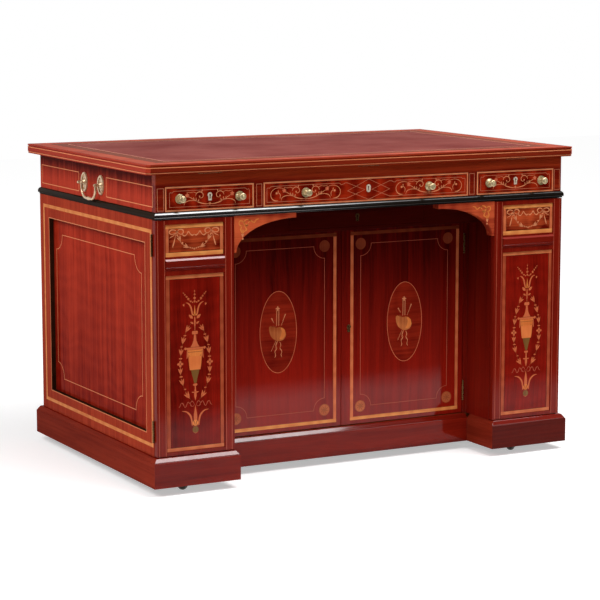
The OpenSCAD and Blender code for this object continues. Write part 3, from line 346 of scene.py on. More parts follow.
# painted shade: a darker copy of the banding for the top band of each plan door, under the apron
makeWood("paintedShadeBanding", (128, 54, 30), (96, 34, 18), "x", 1.2, 0.3, 0.1, shift=0.22)
makeWood("drawerBanding", (240, 152, 104), (212, 118, 78), "x", 0.9, 0.3, 0.1, shift=0.25)
makeWood("boxwoodString", (216, 140, 104), (190, 108, 76), "x", 0.5, 0, 0.05, shift=0.9)
makeWood("lightString", (238, 164, 134), (212, 130, 102), "x", 0.5, 0, 0.05, 0.1, shift=0.92)
makeWood("sideString", (240, 152, 104), (216, 124, 80), "y", 0.5, 0, 0.05, 0.1, shift=0.55)
makeWood("faintString", (192, 94, 70), (162, 70, 50), "x", 0.5, 0, 0.05, shift=0.95)
makeWood("ebonyLine", (38, 20, 16), (18, 10, 9), "x", 0.5, 0, 0.1, 0.1)
makeWood("roundelVeneer", (208, 116, 70), (170, 80, 46), "z", 0.7, 0.2, 0.1, shift=0.75)
# painted shade: a darker copy of the roundel veneer for the upper roundels of the plan doors
makeWood("paintedShadeRoundel", (156, 70, 42), (120, 44, 26), "z", 0.7, 0.2, 0.1, shift=0.77)

# Inlays
makeWood("paletteVeneer", (214, 122, 68), (158, 74, 37), "z", 1.4, 0.3, 0.1, shift=0.85)
makeWood("hollyInlay", (236, 156, 108), (212, 124, 82), "z", 0.6, 0, 0.05, shift=1.1)
makeWood("softInlay", (226, 122, 84), (198, 94, 62), "z", 0.6, 0, 0.05, shift=1.15)
makeWood("emberInlay", (240, 138, 76), (214, 106, 54), "z", 0.8, 0.2, 0.1, shift=1.47)
makeWood("coralInlay", (226, 122, 76), (194, 90, 54), "z", 0.6, 0, 0.05, shift=1.45)
makeWood("amberInlay", (236, 144, 74), (208, 104, 48), "z", 0.8, 0.2, 0.1, shift=1.5)
makeWood("greenInlay", (142, 98, 50), (100, 68, 33), "z", 0.8, 0, 0.1, shift=1.6)
makeWood("brownInlay", (166, 84, 50), (118, 52, 30), "z", 0.7, 0, 0.1, shift=1.7)

# Ebonised moulding, drawer linings and plain boards
makeWood("ebonisedWood", (30, 22, 16), (14, 11, 9), "x", 0.6, 0, 0.15, gloss=1.0, shift=2.2, coatIor=2.6,
         wornFrom=-0.4)
# painted reflection: the ends of the waist moulding are a lighter, warmer copy of the ebonised wood, standing
# in for what they reflect
makeWood("ebonisedSidePaintedReflection", (48, 33, 20), (26, 17, 11), "y", 0.6, 0, 0.15, gloss=0.1, shift=2.3)
makeWood("liningWood", (168, 112, 70), (118, 70, 42), "y", 0.9, 0, 0.5, 0, shift=3.1)
makeWood("carcaseWood", (150, 84, 50), (104, 52, 32), "x", 0.9, 0, 0.5, 0, shift=3.3)

# Metals and leather
makeMetal("agedBrass", (222, 200, 154), (128, 100, 62), 0.5, 140, 0.55)
makeMetal("handleBrass", (214, 184, 148), (128, 98, 68), 0.5, 140, 0.55)
makeMetal("plateBrass", (255, 232, 206), (206, 168, 136), 0.3, 140, 0.3)
makeMetal("hingeBrass", (118, 84, 46), (62, 38, 20), 0.7, 160, 0.8)
makeMetal("castIron", (70, 60, 54), (34, 26, 22), 0.8, 90, 0.7, 0.6)
makeLeather("burgundyLeather", (124, 48, 38), (104, 34, 28))
print("materials made:", len(finishes))

# Sides of the desk: the way across, the way up and the way out of each
faceAxes = {
    "front": ((1, 0, 0), (0, 0, 1), (0, -1, 0)),
    "left": ((0, -1, 0), (0, 0, 1), (-1, 0, 0)),
    "right": ((0, 1, 0), (0, 0, 1), (1, 0, 0)),
    "back": ((-1, 0, 0), (0, 0, 1), (0, 1, 0)),
    "top": ((1, 0, 0), (0, 1, 0), (0, 0, 1)),
}


def reach(node, side):
    # how far a node comes out on one side, in millimetres from the origin
    out = Vector(faceAxes[side][2])
    return round(max(out.dot(v.co) for v in nodes[node].data.vertices) / mm, 2)


def newPiece(name, work, finishNames):
    mesh = bpy.data.meshes.new(name)
    work.to_mesh(mesh)
    work.free()
    for finish in finishNames:
        mesh.materials.append(finishes[finish])
    piece = bpy.data.objects.new(name, mesh)
    bpy.context.scene.collection.objects.link(piece)
    return piece


# Every wooden node gets a copy with its sharp edges eased, which the light catches
def eased(node, finishNames, choice=None, ease=0.5, segments=2, smooth=False, shrink=None):
    work = bmesh.new()
    work.from_mesh(nodes[node].data)
    bmesh.ops.remove_doubles(work, verts=work.verts, dist=2e-6)
    bmesh.ops.dissolve_limit(work, angle_limit=math.radians(1), verts=work.verts, edges=work.edges)
    if shrink:
        shrink(work)
    sharp = [e for e in work.edges if len(e.link_faces) == 2 and e.calc_face_angle(0) > math.radians(28)]
    if ease:
        bmesh.ops.bevel(work, geom=sharp, offset=ease * mm, offset_type="OFFSET", affect="EDGES",
                        segments=segments, profile=0.5, clamp_overlap=True, material=-1)
    work.normal_update()
    if choice:
        for face in work.faces:
            face.material_index = finishNames.index(choice(face.calc_center_median() / mm, face.normal))
    piece = newPiece(node + "Eased", work, finishNames)
    if smooth:
        piece.data.shade_smooth()
        piece.data.set_sharp_from_angle(angle=math.radians(40))
    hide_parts(node)
    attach(piece, bodyOf[node])


# Where one finish ends and the next begins, and how far the top sinks under its veneers, in millimetres
finishLook = {"sunkTop": 0.15, "upperStep": 774, "doorRail": (523, 562), "doorRailFront": 364.4,
              "panelSplit": 550, "mouldingFoot": 81, "shadeFrom": 300, "keyPlateHalf": 12, "keyholeHalf": 4}
sideOpening = {"half": 303, "low": 144, "high": 597}
topHalf = (reach("top_slab", "right"), reach("top_slab", "back"))
topHeight = reach("top_slab", "top")


def sunkTop(work):
    # the veneers and strings on the top lie flush, so the board under them is a hair smaller
    sunk = finishLook["sunkTop"]
    for v in work.verts:
        v.co.x *= 1 - sunk / topHalf[0]
        v.co.y *= 1 - sunk / topHalf[1]
        if v.co.z > (topHeight - 0.1) * mm:
            v.co.z -= sunk * mm


def slabWood(centre, normal):
    # painted light: the ends and the upper part of the edge take the lighter copies
    if abs(normal.x) > 0.5:
        return "topEdgeSidePaintedLight"
    return "topEdgePaintedLight" if centre.z > finishLook["upperStep"] else "topEdgeWood"


def waistWood(centre, normal):
    # the ends and back of the moulding take the copy with the painted reflection
    return "ebonisedWood" if abs(normal.x) < 0.3 and centre.y < 0 else "ebonisedSidePaintedReflection"


def sideWood(centre, normal):
    # painted shade: the returns round each sunk side panel get a dark wood
    margin = 1.5  # takes in the eased corner
    low, high = sideOpening["low"] - margin, sideOpening["high"] + margin
    inside = abs(centre.y) < sideOpening["half"] + margin and low < centre.z < high
    return "openingPaintedShade" if abs(normal.x) < 0.3 and inside else "sideFramePaintedLight"


def plinthWood(centre, normal):
    if centre.z > finishLook["mouldingFoot"] and abs(normal.y) > 0.1 and centre.y < 0:
        return "polishedMoulding"
    # the sides take the lighter copy, which is painted light
    if abs(normal.x) > abs(normal.y):
        return "plinthSidePaintedLight"
    return "plinthShade" if centre.x > finishLook["shadeFrom"] else "mahoganyX"


def doorWood(centre, normal):
    # the moulded rail of a pedestal door shines and its sloping upper edges get a painted highlight, its
    # frame is plain
    low, high = finishLook["doorRail"]
    if not (low < centre.z < high and centre.y < -finishLook["doorRailFront"]):
        return "mahoganyZ"
    return "paintedHighlightEdge" if 0.5 < normal.z < 0.85 else "polishedMoulding"


def panelWood(centre, normal):
    return "festoonGround" if centre.z > finishLook["panelSplit"] else "urnGround"


def drawerSpan(side):
    # left and right ends of a drawer's front, and how far forward it stands
    front = side + "_drawer_front"
    return -reach(front, "left"), reach(front, "right"), reach(front, "front")


def drawerBrass(side):
    # knobs on their roses, a paler key plate between them, and the dark lock behind the front; the walls of
    # the keyhole slot take the dark iron as painted shade
    left, right, depth = drawerSpan(side)
    middle = (left + right) / 2

    def brassOrIron(centre, normal):
        across = abs(centre.x - middle)
        if centre.y > 0.2 - depth or across < finishLook["keyholeHalf"] and abs(normal.y) < 0.5:
            return "castIron"
        return "plateBrass" if across < finishLook["keyPlateHalf"] else "agedBrass"

    eased(side + "_drawer_brass", ["agedBrass", "plateBrass", "castIron"], brassOrIron, ease=0, smooth=True)


eased("top_slab", ["topEdgeWood", "topEdgePaintedLight", "topEdgeSidePaintedLight"], slabWood, ease=0.6, shrink=sunkTop)
eased("frieze_front", ["railMahogany"])
eased("frieze_sides", ["friezeSidePaintedLightAndShadow"])
eased("frieze_back", ["mahoganyX"])
eased("waist_moulding", ["ebonisedWood", "ebonisedSidePaintedReflection"], waistWood, ease=0.7, segments=3)
eased("side_frames", ["sideFramePaintedLight", "openingPaintedShade"], sideWood)
eased("side_panels", ["sidePanelPaintedLightAndShade"], ease=0.3)
eased("back_frame", ["mahoganyZ"])
eased("back_panels", ["mahoganyZ"], ease=0.3)
eased("inner_sides", ["innerSidePaintedShade"])
eased("plinth", ["mahoganyX", "plinthShade", "plinthSidePaintedLight", "polishedMoulding"], plinthWood, ease=0.7)
eased("apron", ["apronPaintedShade"])
eased("apron_drawer_front", ["apronPaintedShade"])
eased("spandrels", ["curlSpandrel"])
for side in ("left", "middle", "right"):
    eased(side + "_drawer_front", ["flameMahogany"], ease=0.4)
for side in ("left", "right"):
    eased(side + "_door", ["mahoganyZ", "polishedMoulding", "paintedHighlightEdge"], doorWood, ease=0.7)
    eased(side + "_door_panels", ["festoonGround", "urnGround"], panelWood, ease=0.2)
    eased(side + "_plan_door", ["planDoorPaintedLightAndShade"], ease=0.6)
for side in ("left", "middle", "right"):
    drawerBrass(side)

# The other nodes keep their shape and get one finish each
drawerBrasses = ["left_drawer_brass", "middle_drawer_brass", "right_drawer_brass"]  # dressed above
plainNodes = {
    "carcaseWood": ["drawer_partitions", "sub_top", "deck_board", "shelves", "floor_board", "castor_blocks",
                    "apron_floor", "easel_strut", "ratchet_racks"],
    "liningWood": [n for n in nodes if n.endswith("_drawer_box")],
    "handleBrass": [n for n in nodes if n.endswith(("_bail", "_posts"))],
    "hingeBrass": [n for n in nodes if n.endswith(("_hinges", "_leaves", "_brackets", "_brass"))
                   and n not in drawerBrasses],
    "castIron": [n for n in nodes if n.startswith("castor_") and n != "castor_blocks"],
    "burgundyLeather": ["top_leather"],
}
for finish, members in plainNodes.items():
    for member in members:
        nodes[member].data.materials.clear()
        nodes[member].data.materials.append(finishes[finish])
print("nodes dressed:", len(nodes))


# Marquetry is cut in millimetres on a flat sheet, u to the right and v up, then laid on its face
def flowing(points):
    # smooth line through the points
    steps = 5
    run = []
    for i in range(len(points) - 1):
        a, b, c, d = (Vector(points[max(0, min(len(points) - 1, i + k))]) for k in (-1, 0, 1, 2))
        for step in range(steps):
            t = step / steps
            run.append(0.5 * ((2 * b) + (c - a) * t + (2 * a - 5 * b + 4 * c - d) * t ** 2
                              + (3 * b - a - 3 * c + d) * t ** 3))
    return run + [Vector(points[-1])]


def stroke(sheet, path, widths, closed=False):
    # ribbon along a path; widths is one number or a list spread evenly along it
    points = [Vector(p) for p in path]
    count = len(points)
    if not hasattr(widths, "__len__"):
        widths = [widths, widths]
    last = count if closed else count - 1
    strip = bmesh.ops.create_grid(sheet, x_segments=last, y_segments=1, size=0.5)["verts"]
    for v in strip:
        i = round((v.co.x + 0.5) * last)
        side = 1 if v.co.y > 0 else -1
        here = points[i % count]
        back = points[(i - 1) % count] if closed or i > 0 else here
        ahead = points[(i + 1) % count] if closed or i < last else here
        first = (here - back).normalized() if (here - back).length > 0 else (ahead - here).normalized()
        second = (ahead - here).normalized() if (ahead - here).length > 0 else first
        mitre = first.orthogonal() + second.orthogonal()
        mitre = mitre / max(0.35, 1 + first.dot(second))
        at = i / last * (len(widths) - 1)
        low = min(int(at), len(widths) - 2)
        wide = widths[low] + (widths[low + 1] - widths[low]) * (at - low)
        v.co = (here + mitre * side * max(wide, 0.06) / 2).to_3d()


def vine(sheet, points, widths, u=0.0, s=1, v=0.0):
    # smooth ribbon drawn from u, v; with s at -1 it grows to the left instead
    stroke(sheet, flowing([(u + s * a, v + b) for a, b in points]), widths)


def leaning(turn, s):
    # a direction in degrees, turned over with the left half of a pair
    return turn if s > 0 else 180 - turn


def band(sheet, left, right, low, high, wide):
    # mitred rectangle, measured to its outer edge
    inset = wide / 2
    stroke(sheet, [(left + inset, low + inset), (right - inset, low + inset),
                   (right - inset, high - inset), (left + inset, high - inset)], wide, closed=True)


def disc(sheet, u, v, r, squeeze=1.0, turn=0.0, segments=14):
    spot = Matrix.Translation((u, v, 0)) @ Matrix.Rotation(turn, 4, "Z") @ Matrix.Diagonal((1, squeeze, 1, 1))
    bmesh.ops.create_circle(sheet, cap_ends=True, radius=r, segments=segments, matrix=spot)


def ring(sheet, u, v, ru, rv, wide, segments):
    turns = [2 * math.pi * k / segments for k in range(segments)]
    stroke(sheet, [(u + ru * math.cos(t), v + rv * math.sin(t)) for t in turns], wide, closed=True)


def leaf(sheet, u, v, length, wide, turn, bend=0.0):
    # pointed leaf that starts at u, v and grows towards turn, in degrees
    run = []
    angle = math.radians(turn)
    spot = Vector((u, v))
    for k in range(9):
        run.append(spot.copy())
        spot = spot + Vector((math.cos(angle), math.sin(angle))) * length / 8
        angle += math.radians(bend) / 8
    stroke(sheet, run, [0.1 * wide, 0.75 * wide, wide, 0.85 * wide, 0.5 * wide, 0.05])


def husk(sheet, u, v, size, turn):
    # three-lobed bud whose point looks along turn, in degrees; u, v is its middle
    half = [(0.56, 0), (0.32, 0.13), (0.1, 0.25), (-0.12, 0.32), (-0.44, 0.4), (-0.34, 0.24), (-0.16, 0.12)]
    outline = half + [(-0.54, 0.03), (-0.54, -0.03)] + [(a, -b) for a, b in half[:0:-1]]
    around = bmesh.ops.create_circle(sheet, cap_ends=True, radius=1, segments=len(outline))["verts"]
    swing = Matrix.Translation((u, v, 0)) @ Matrix.Rotation(math.radians(turn), 4, "Z")
    for vert, (a, b) in zip(around, outline):
        vert.co = swing @ Vector((a * size, b * size, 0))


def petals(sheet, u, v, r, count, turn):
    for k in range(count):
        a = math.radians(turn + 360 / count * k)
        disc(sheet, u + 0.58 * r * math.cos(a), v + 0.58 * r * math.sin(a), 0.46 * r, 0.8, a, 10)


def hollowFrame(sheet, left, right, low, high, r, wide):
    # string with a quarter circle hollowed out of each corner
    path = []
    for cu, cv, start in ((right, low, 180), (right, high, 270), (left, high, 0), (left, low, 90)):
        for k in range(9):
            a = math.radians(start - 90 * k / 8)
            path.append((cu + r * math.cos(a), cv + r * math.sin(a)))
    stroke(sheet, path, wide, closed=True)


def thicken(sheet, thick):
    # a flat sheet grows upwards, and its first faces stay as the underside
    grown = bmesh.ops.extrude_face_region(sheet, geom=sheet.faces[:], use_keep_orig=True)
    upper = [g for g in grown["geom"] if isinstance(g, bmesh.types.BMVert)]
    bmesh.ops.translate(sheet, verts=upper, vec=(0, 0, thick))
    bmesh.ops.recalc_face_normals(sheet, faces=sheet.faces)


class Marquetry:
    # one face's inlay: a sheet of each wood, all drawn in the same millimetres
    def __init__(self):
        self.sheets = {}

    def cut(self, wood):
        if wood not in self.sheets:
            self.sheets[wood] = bmesh.new()
        return self.sheets[wood]

    def lay(self, name, body, place, thick=0.4, proud=0.1):
        whole = bmesh.new()
        layerStep = 0.012  # each wood's sheet lies this much over the one before it
        for index, sheet in enumerate(self.sheets.values()):
            bmesh.ops.remove_doubles(sheet, verts=sheet.verts, dist=0.001)
            bmesh.ops.translate(sheet, verts=sheet.verts, vec=(0, 0, proud - thick + layerStep * index))
            thicken(sheet, thick)
            sheet.transform(place)
            for face in sheet.faces:
                face.material_index = index
            scratch = bpy.data.meshes.new("scratch")
            sheet.to_mesh(scratch)
            whole.from_mesh(scratch)
            bpy.data.meshes.remove(scratch)
            sheet.free()
        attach(newPiece(name, whole, self.sheets), body)


def facing(side, distance, rise=0.0):
    # place of a sheet that looks out along one side, that far from the origin in millimetres
    across, up, out = (Vector(a) for a in faceAxes[side])
    turn = Matrix((across, up, out)).transposed().to_4x4()
    return Matrix.Translation((out * distance + up * rise) * mm) @ turn @ Matrix.Scale(mm, 4)


# Top: crossbanded border with mitres, strings round the leather and on the edge; insets from the edge
topLook = {"clip": 9, "outerBand": (5, 46), "innerBand": (47.2, 79.4), "line": 1.2, "thinLine": 0.8,
           "thinLineInset": 77.4, "leatherString": 2.4, "thick": 0.15, "proud": -0.04,
           "edgeStrings": ((777, 0.25), (764.5, 1.2)), "edgeStringHigh": 1.9, "edgeStringDeep": 0.3}


def topOutline(inset):
    x, y, c = topHalf[0] - inset, topHalf[1] - inset, topLook["clip"]
    return [(-x + c, -y), (x - c, -y), (x, -y + c), (x, y), (-x, y), (-x, -y + c)]


def topStrip(border, woodPair, near, far):
    # mitred strips between two insets from the edge; the first wood lies along the front and back
    x, y = topHalf
    for wood, across in zip(woodPair, (False, True)):
        for s in (-1, 1):
            strip = bmesh.ops.create_grid(border.cut(wood), x_segments=1, y_segments=1, size=0.5)["verts"]
            for v in strip:
                end = 1 if v.co.x > 0 else -1
                off = far if v.co.y > 0 else near
                v.co = (Vector((s * (x - off), end * s * (y - off), 0)) if across
                        else Vector((-end * s * (x - off), s * (y - off), 0)))


def topFrame(border, wood, inset, wide):
    x, y = topHalf[0] - inset, topHalf[1] - inset
    band(border.cut(wood), -x, x, -y, y, wide)


def dressTop():
    look = topLook
    border = Marquetry()
    topStrip(border, ("topBandY", "topBandX"), *look["outerBand"])
    topStrip(border, ("topInnerBandX", "topInnerBandY"), *look["innerBand"])
    outlineInset = look["outerBand"][0] - look["line"] / 2
    stroke(border.cut("ebonyLine"), topOutline(outlineInset), look["line"], closed=True)
    topFrame(border, "ebonyLine", look["outerBand"][1], look["line"])
    topFrame(border, "ebonyLine", look["thinLineInset"], look["thinLine"])
    topFrame(border, "lightString", look["innerBand"][1], look["leatherString"])
    border.lay("topBorder", "top", facing("top", topHeight), look["thick"], look["proud"])
    for k, (height, inset) in enumerate(look["edgeStrings"]):
        ringed = bmesh.new()
        stroke(ringed, topOutline(inset), look["edgeStringDeep"], closed=True)
        thicken(ringed, look["edgeStringHigh"])
        foot = height - look["edgeStringHigh"] / 2
        ringed.transform(Matrix.Translation((0, 0, foot * mm)) @ Matrix.Scale(mm, 4))
        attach(newPiece("topEdgeString%d" % k, ringed, ["sideString"]), "top")


dressTop()


# Frieze: stile and side strings
friezeLook = {"stiles": ((291, 306), (547, 564)), "stileHeights": (675, 728), "stringWidth": 1.1,
              "sideStrings": ((-347, -72), (100, 352)), "sideHeights": (683, 732), "sideStringWidth": 2.0}


def dressFrieze():
    look = friezeLook
    face = Marquetry()
    for s in (-1, 1):
        for stile in look["stiles"]:
            left, right = sorted(s * edge for edge in stile)
            band(face.cut("boxwoodString"), left, right, *look["stileHeights"], look["stringWidth"])
    face.lay("friezeStrings", "carcase", facing("front", reach("frieze_front", "front")))
    for side, s in (("left", -1), ("right", 1)):
        cheek = Marquetry()
        for string in look["sideStrings"]:
            left, right = sorted(s * edge for edge in string)
            band(cheek.cut("sideString"), left, right, *look["sideHeights"], look["sideStringWidth"])
        cheek.lay(side + "FriezeStrings", "carcase", facing(side, reach("frieze_sides", side)))


dressFrieze()


# Drawers: satinwood edge, inner string, scrolling stems, and a dark sheet in each keyhole as painted shade
drawerLook = {"bandWidth": 3.6, "lineWidth": 0.7, "stringWidth": 0.9, "low": 672.6, "high": 730.6,
              "inner": (682.5, 720), "innerHalf": 104, "notch": 7, "sideGap": 0.3, "middleGap": 0.2,
              "stems": 173}
keyholeLook = {"top": 3.5, "foot": 5.4, "roundRadius": 1.9, "slotWidth": 2.1, "sunk": 3,
               "drawerHeight": 704.25, "apron": (0, 628), "planDoor": (15.5, 340)}


def stemPair(face, u):
    # two stems that rise outwards from a lozenge, with a flower, leaf forks and a C scroll each
    holly, soft = face.cut("hollyInlay"), face.cut("softInlay")
    petals(holly, u, 688, 3.2, 4, 0)
    for s in (-1, 1):
        vine(holly, [(1, 687), (11, 687.2), (24, 690), (33, 694), (44, 700), (55, 706)],
             [0.8, 2.0, 2.4, 1.6, 1.0], u, s)
        vine(holly, [(31, 693), (40, 696), (50, 696.5), (59, 695), (65, 691), (67, 685)],
             [1.4, 1.2, 1.3, 1.7, 1.3, 0.4], u, s)
        for du, dv, size, turn in ((30, 692, 8, 96), (35, 695, 8, 78), (44, 696, 6, 118), (40, 697.5, 7, 60)):
            leaf(holly, u + s * du, dv, size, 2.2, leaning(turn, s), 20 * s)
        petals(soft, u + s * 58.5, 708.6, 5.2, 5, 18)
        disc(holly, u + s * 58.5, 708.6, 1.5)
        vine(holly, [(37, 707), (34, 713), (27, 716), (20, 713.5), (17, 708), (19, 703), (24, 701.6),
                     (27.5, 704)], [0.8, 1.5, 1.9, 1.6, 1.6, 1.4, 1.1, 0.9], u, s)
        disc(holly, u + s * 26.4, 705.2, 1.7)
        leaf(holly, u + s * 21, 715, 7, 2.2, leaning(100, s), 30 * s)
        vine(holly, [(34, 713), (42, 716), (50, 715), (60, 716.5)], [1.2, 0.8, 0.9, 0.5], u, s)


def scrollPair(holly, u):
    # the wider C scrolls that end each pair of stems on the middle drawer
    for s in (-1, 1):
        vine(holly, [(60, 713), (72, 716), (84, 714), (92, 708), (95, 700), (92, 691), (84, 685.5),
                     (75, 685)], [0.6, 1.0, 1.2, 1.3, 1.4, 1.8, 2.6, 0.5], u, s)
        vine(holly, [(70, 690), (69, 698), (73, 703.5), (78, 703.5)], [0.6, 1.4, 1.2, 0.9], u, s)
        disc(holly, u + s * 79, 703, 2.6)
        leaf(holly, u + s * 74, 705, 6, 2, leaning(70, s), 25 * s)


def notchedFrame(sheet, left, right, low, high, wide, notch):
    # string with ogee notches at its upper corners
    corner = [(0, 2 / 3), (0.25, 0.4), (1, 0.55), (1.4, 0.1), (1.9, 0)]
    path = [(left, low), (right, low)]
    path += [(right - notch * a, high - notch * b) for a, b in corner]
    path += [(left + notch * a, high - notch * b) for a, b in corner[::-1]]
    stroke(sheet, path, wide, closed=True)


def taperedFrames(sheet, low, high, wide):
    # on the middle drawer the string runs to a point at the middle and has ogee corners at its ends
    for s in (-1, 1):
        path = [(10, 701), (60, low), (278, low), (278, high - 5), (276, high - 3), (271, high - 4),
                (268, high - 1), (264, high), (82, high), (79, high - 1), (76, high - 4), (70, high - 3),
                (66, high - 0.5), (60, high)]
        stroke(sheet, [(s * a, b) for a, b in path], wide, closed=True)


def drawerFace(side):
    look = drawerLook
    left, right, depth = drawerSpan(side)
    middle = (left + right) / 2
    gap = look["middleGap"] if side == "middle" else look["sideGap"]
    left, right = left + gap, right - gap
    line = look["bandWidth"]
    face = Marquetry()
    band(face.cut("drawerBanding"), left, right, look["low"], look["high"], line)
    band(face.cut("ebonyLine"), left + line, right - line, look["low"] + line, look["high"] - line,
         look["lineWidth"])
    string = face.cut("boxwoodString")
    if side == "middle":
        taperedFrames(string, *look["inner"], look["stringWidth"])
        stroke(string, [(-58, 700), (1, look["low"] + 4), (60, 700), (1, look["high"] - 4)],
               look["stringWidth"], closed=True)
        for u in (-look["stems"], look["stems"]):
            stemPair(face, u)
            scrollPair(face.cut("hollyInlay"), u)
    else:
        notchedFrame(string, middle - look["innerHalf"], middle + look["innerHalf"], *look["inner"],
                     look["stringWidth"], look["notch"])
        stemPair(face, middle)
    face.lay(side + "DrawerMarquetry", side + "_drawer", facing("front", depth))


def keyholePaintedShade(name, body, spot, depth):
    # painted shade: a dark sheet of the ebony line wood, a little behind the face, fills the inside of a
    # keyhole
    look = keyholeLook
    u, v = spot
    hole = Marquetry()
    disc(hole.cut("ebonyLine"), u, v + look["top"], look["roundRadius"])
    stroke(hole.cut("ebonyLine"), [(u, v + look["top"]), (u, v - look["foot"])], look["slotWidth"])
    hole.lay(name, body, facing("front", depth - look["sunk"]))


for side in ("left", "middle", "right"):
    left, right, depth = drawerSpan(side)
    spot = ((left + right) / 2, keyholeLook["drawerHeight"])
    keyholePaintedShade(side + "DrawerKeyholeShade", side + "_drawer", spot, depth)
keyholePaintedShade("apronKeyholeShade", "apron_drawer", keyholeLook["apron"], reach("apron_drawer_front", "front"))
keyholePaintedShade("planKeyholeShade", "right_plan_door", keyholeLook["planDoor"], reach("right_plan_door", "front"))
for side in ("left", "right", "middle"):
    drawerFace(side)
print("frieze and drawers inlaid")


# Side frames and back: satinwood band, string at the sunk panel and a string with hollowed corners
sideLook = {"bandWidth": 8.5, "bandBox": (342, 113, 631), "openingLine": 1.8, "openingGap": 1.5,
            "innerBox": (269.5, 180.5, 557), "innerShift": 16, "innerLine": 1.7, "hollow": 40,
            "backHalf": 542, "backLine": 1.2, "backOpenings": ((-508, -398), (-336, 336), (398, 508))}


def dressSides():
    look = sideLook
    half, low, high = look["bandBox"]
    inHalf, inLow, inHigh = look["innerBox"]
    gap = look["openingGap"]
    openLow, openHigh = sideOpening["low"] - gap, sideOpening["high"] + gap
    openHalf = sideOpening["half"] + gap
    for side, s in (("left", -1), ("right", 1)):
        face = Marquetry()
        band(face.cut("satinwoodY"), -half, half, low, high, look["bandWidth"])
        band(face.cut("sideString"), -openHalf, openHalf, openLow, openHigh, look["openingLine"])
        face.lay(side + "SideBand", "carcase", facing(side, reach("side_frames", side)))
        sunk = Marquetry()
        c = s * look["innerShift"]
        hollowFrame(sunk.cut("sideString"), c - inHalf, c + inHalf, inLow, inHigh, look["hollow"],
                    look["innerLine"])
        sunk.lay(side + "PanelString", "carcase", facing(side, reach("side_panels", side)))
    rear = Marquetry()
    for left, right in look["backOpenings"]:
        band(rear.cut("boxwoodString"), left - gap, right + gap, openLow, openHigh, look["backLine"])
    band(rear.cut("satinwoodX"), -look["backHalf"], look["backHalf"], low, high, look["bandWidth"])
    rear.lay("backBand", "carcase", facing("back", reach("back_frame", "back")))


dressSides()


# Pedestal doors: stile strings, banded panels, festoon above and urn below
doorLook = {"centre": 469.5, "railProud": 3, "panelEdges": (394.3, 543.4),
            "stileStrings": (374, 389, 547.5, 564.5), "stringEnds": (93.5, 652.5), "stringWidth": 1.5,
            "lineWidth": 0.7, "urnRise": {"left": -2.8, "right": 0.0}}
festoonBands = {"low": 566, "high": 643.4, "ends": 10.5, "sides": 8, "woods": ("warmBanding", "satinwoodX")}
urnBands = {"low": 102.4, "high": 522.2, "ends": 8.5, "sides": 9, "woods": ("satinwoodZ", "warmBandingX")}


def festoon(face, c):
    holly = face.cut("hollyInlay")
    vine(holly, [(-45, 622), (-39, 608), (-32.7, 596.5), (-21, 589), (-10.5, 586), (0, 583.6), (10.5, 586),
                 (21, 589), (32, 596.5), (38, 608), (44, 622)], 0.7, c)
    for s in (-1, 1):
        for u, v, size, turn in ((38.5, 608.5, 13.5, 245), (21, 589.5, 13.5, 212), (43.5, 616, 6, 245)):
            husk(holly, c + s * u, v, size, leaning(turn, s))
        for u, v, r in ((30.8, 598, 2.4), (10.5, 586, 1.8), (5.4, 584.6, 1.8), (14, 587.4, 1.2)):
            disc(holly, c + s * u, v, r)
        for points, widths in (
                ([(44, 625), (39, 630), (32, 630), (28, 626), (30, 620.5), (36, 619), (44, 625)],
                 [1.0, 2.4, 3.2, 2.6, 1.8, 1.0]),
                ([(44, 625), (50, 629), (58, 630), (64, 625.5), (61, 620.5), (54, 620), (44, 625)],
                 [1.0, 2.2, 3.2, 2.2, 1.8, 1.0]),
                ([(33, 620), (26, 614.6), (20, 617), (15, 624), (10.5, 619), (5, 615), (0.5, 617.5)],
                 [1.2, 3.0, 1.6, 2.8, 1.6, 3.2, 0.8]),
                ([(46, 622), (49, 612), (51.5, 603), (54, 595), (56, 588.5)], [0.8, 1.2, 2.8, 3.2, 0.6]),
                ([(46, 623), (54, 616), (59, 613.5), (64, 611)], [0.8, 1.8, 1.4, 0.6])):
            vine(holly, points, widths, c, s)
        petals(holly, c + s * 44.5, 624.6, 3.4, 4, 45)
    disc(holly, c, 583.2, 2.4)


def urnSprays(face, c):
    # sprays of buds over a trumpet
    coral, amber = face.cut("coralInlay"), face.cut("amberInlay")
    vine(coral, [(0, 458), (0, 489)], [0.8, 0.5], c)
    for v, r in ((485.5, 1.6), (477.5, 2.1), (469, 2.9), (461, 2.6)):
        disc(coral, c, v, r)
    for s in (-1, 1):
        vine(coral, [(10, 459), (17, 467.5), (23.5, 475.5), (31, 484)], [0.8, 0.7, 0.5], c, s)
        for u, v, r in ((16.5, 467.5, 2.9), (21, 473, 2.3), (25.5, 478, 1.9), (29, 482, 1.4),
                        (10, 461.5, 2.2), (5.5, 459, 1.6)):
            disc(coral, c + s * u, v, r)
        husk(coral, c + s * 28.5, 453.5, 6.5, leaning(255, s))
        leaf(coral, c + s * 5, 420.5, 14, 7.5, leaning(42, s))
        leaf(coral, c + s * 3.5, 408, 9.5, 4.6, leaning(30, s))
        vine(coral, [(5.5, 429.5), (7.5, 437), (9.5, 446), (13, 453), (18, 457.6), (23, 458.9)],
             [3.8, 4, 4.2, 3.8, 2.4, 0.6], c, s)
    vine(amber, [(0, 429), (0, 436), (0, 444), (0, 452)], [5.0, 4.0, 2.2, 0.3], c)
    vine(amber, [(0, 427.5), (0, 430.5)], [11, 12], c)
    vine(coral, [(0, 425), (0, 392)], [1.2, 3.4, 4.0, 1.6, 1.4], c)


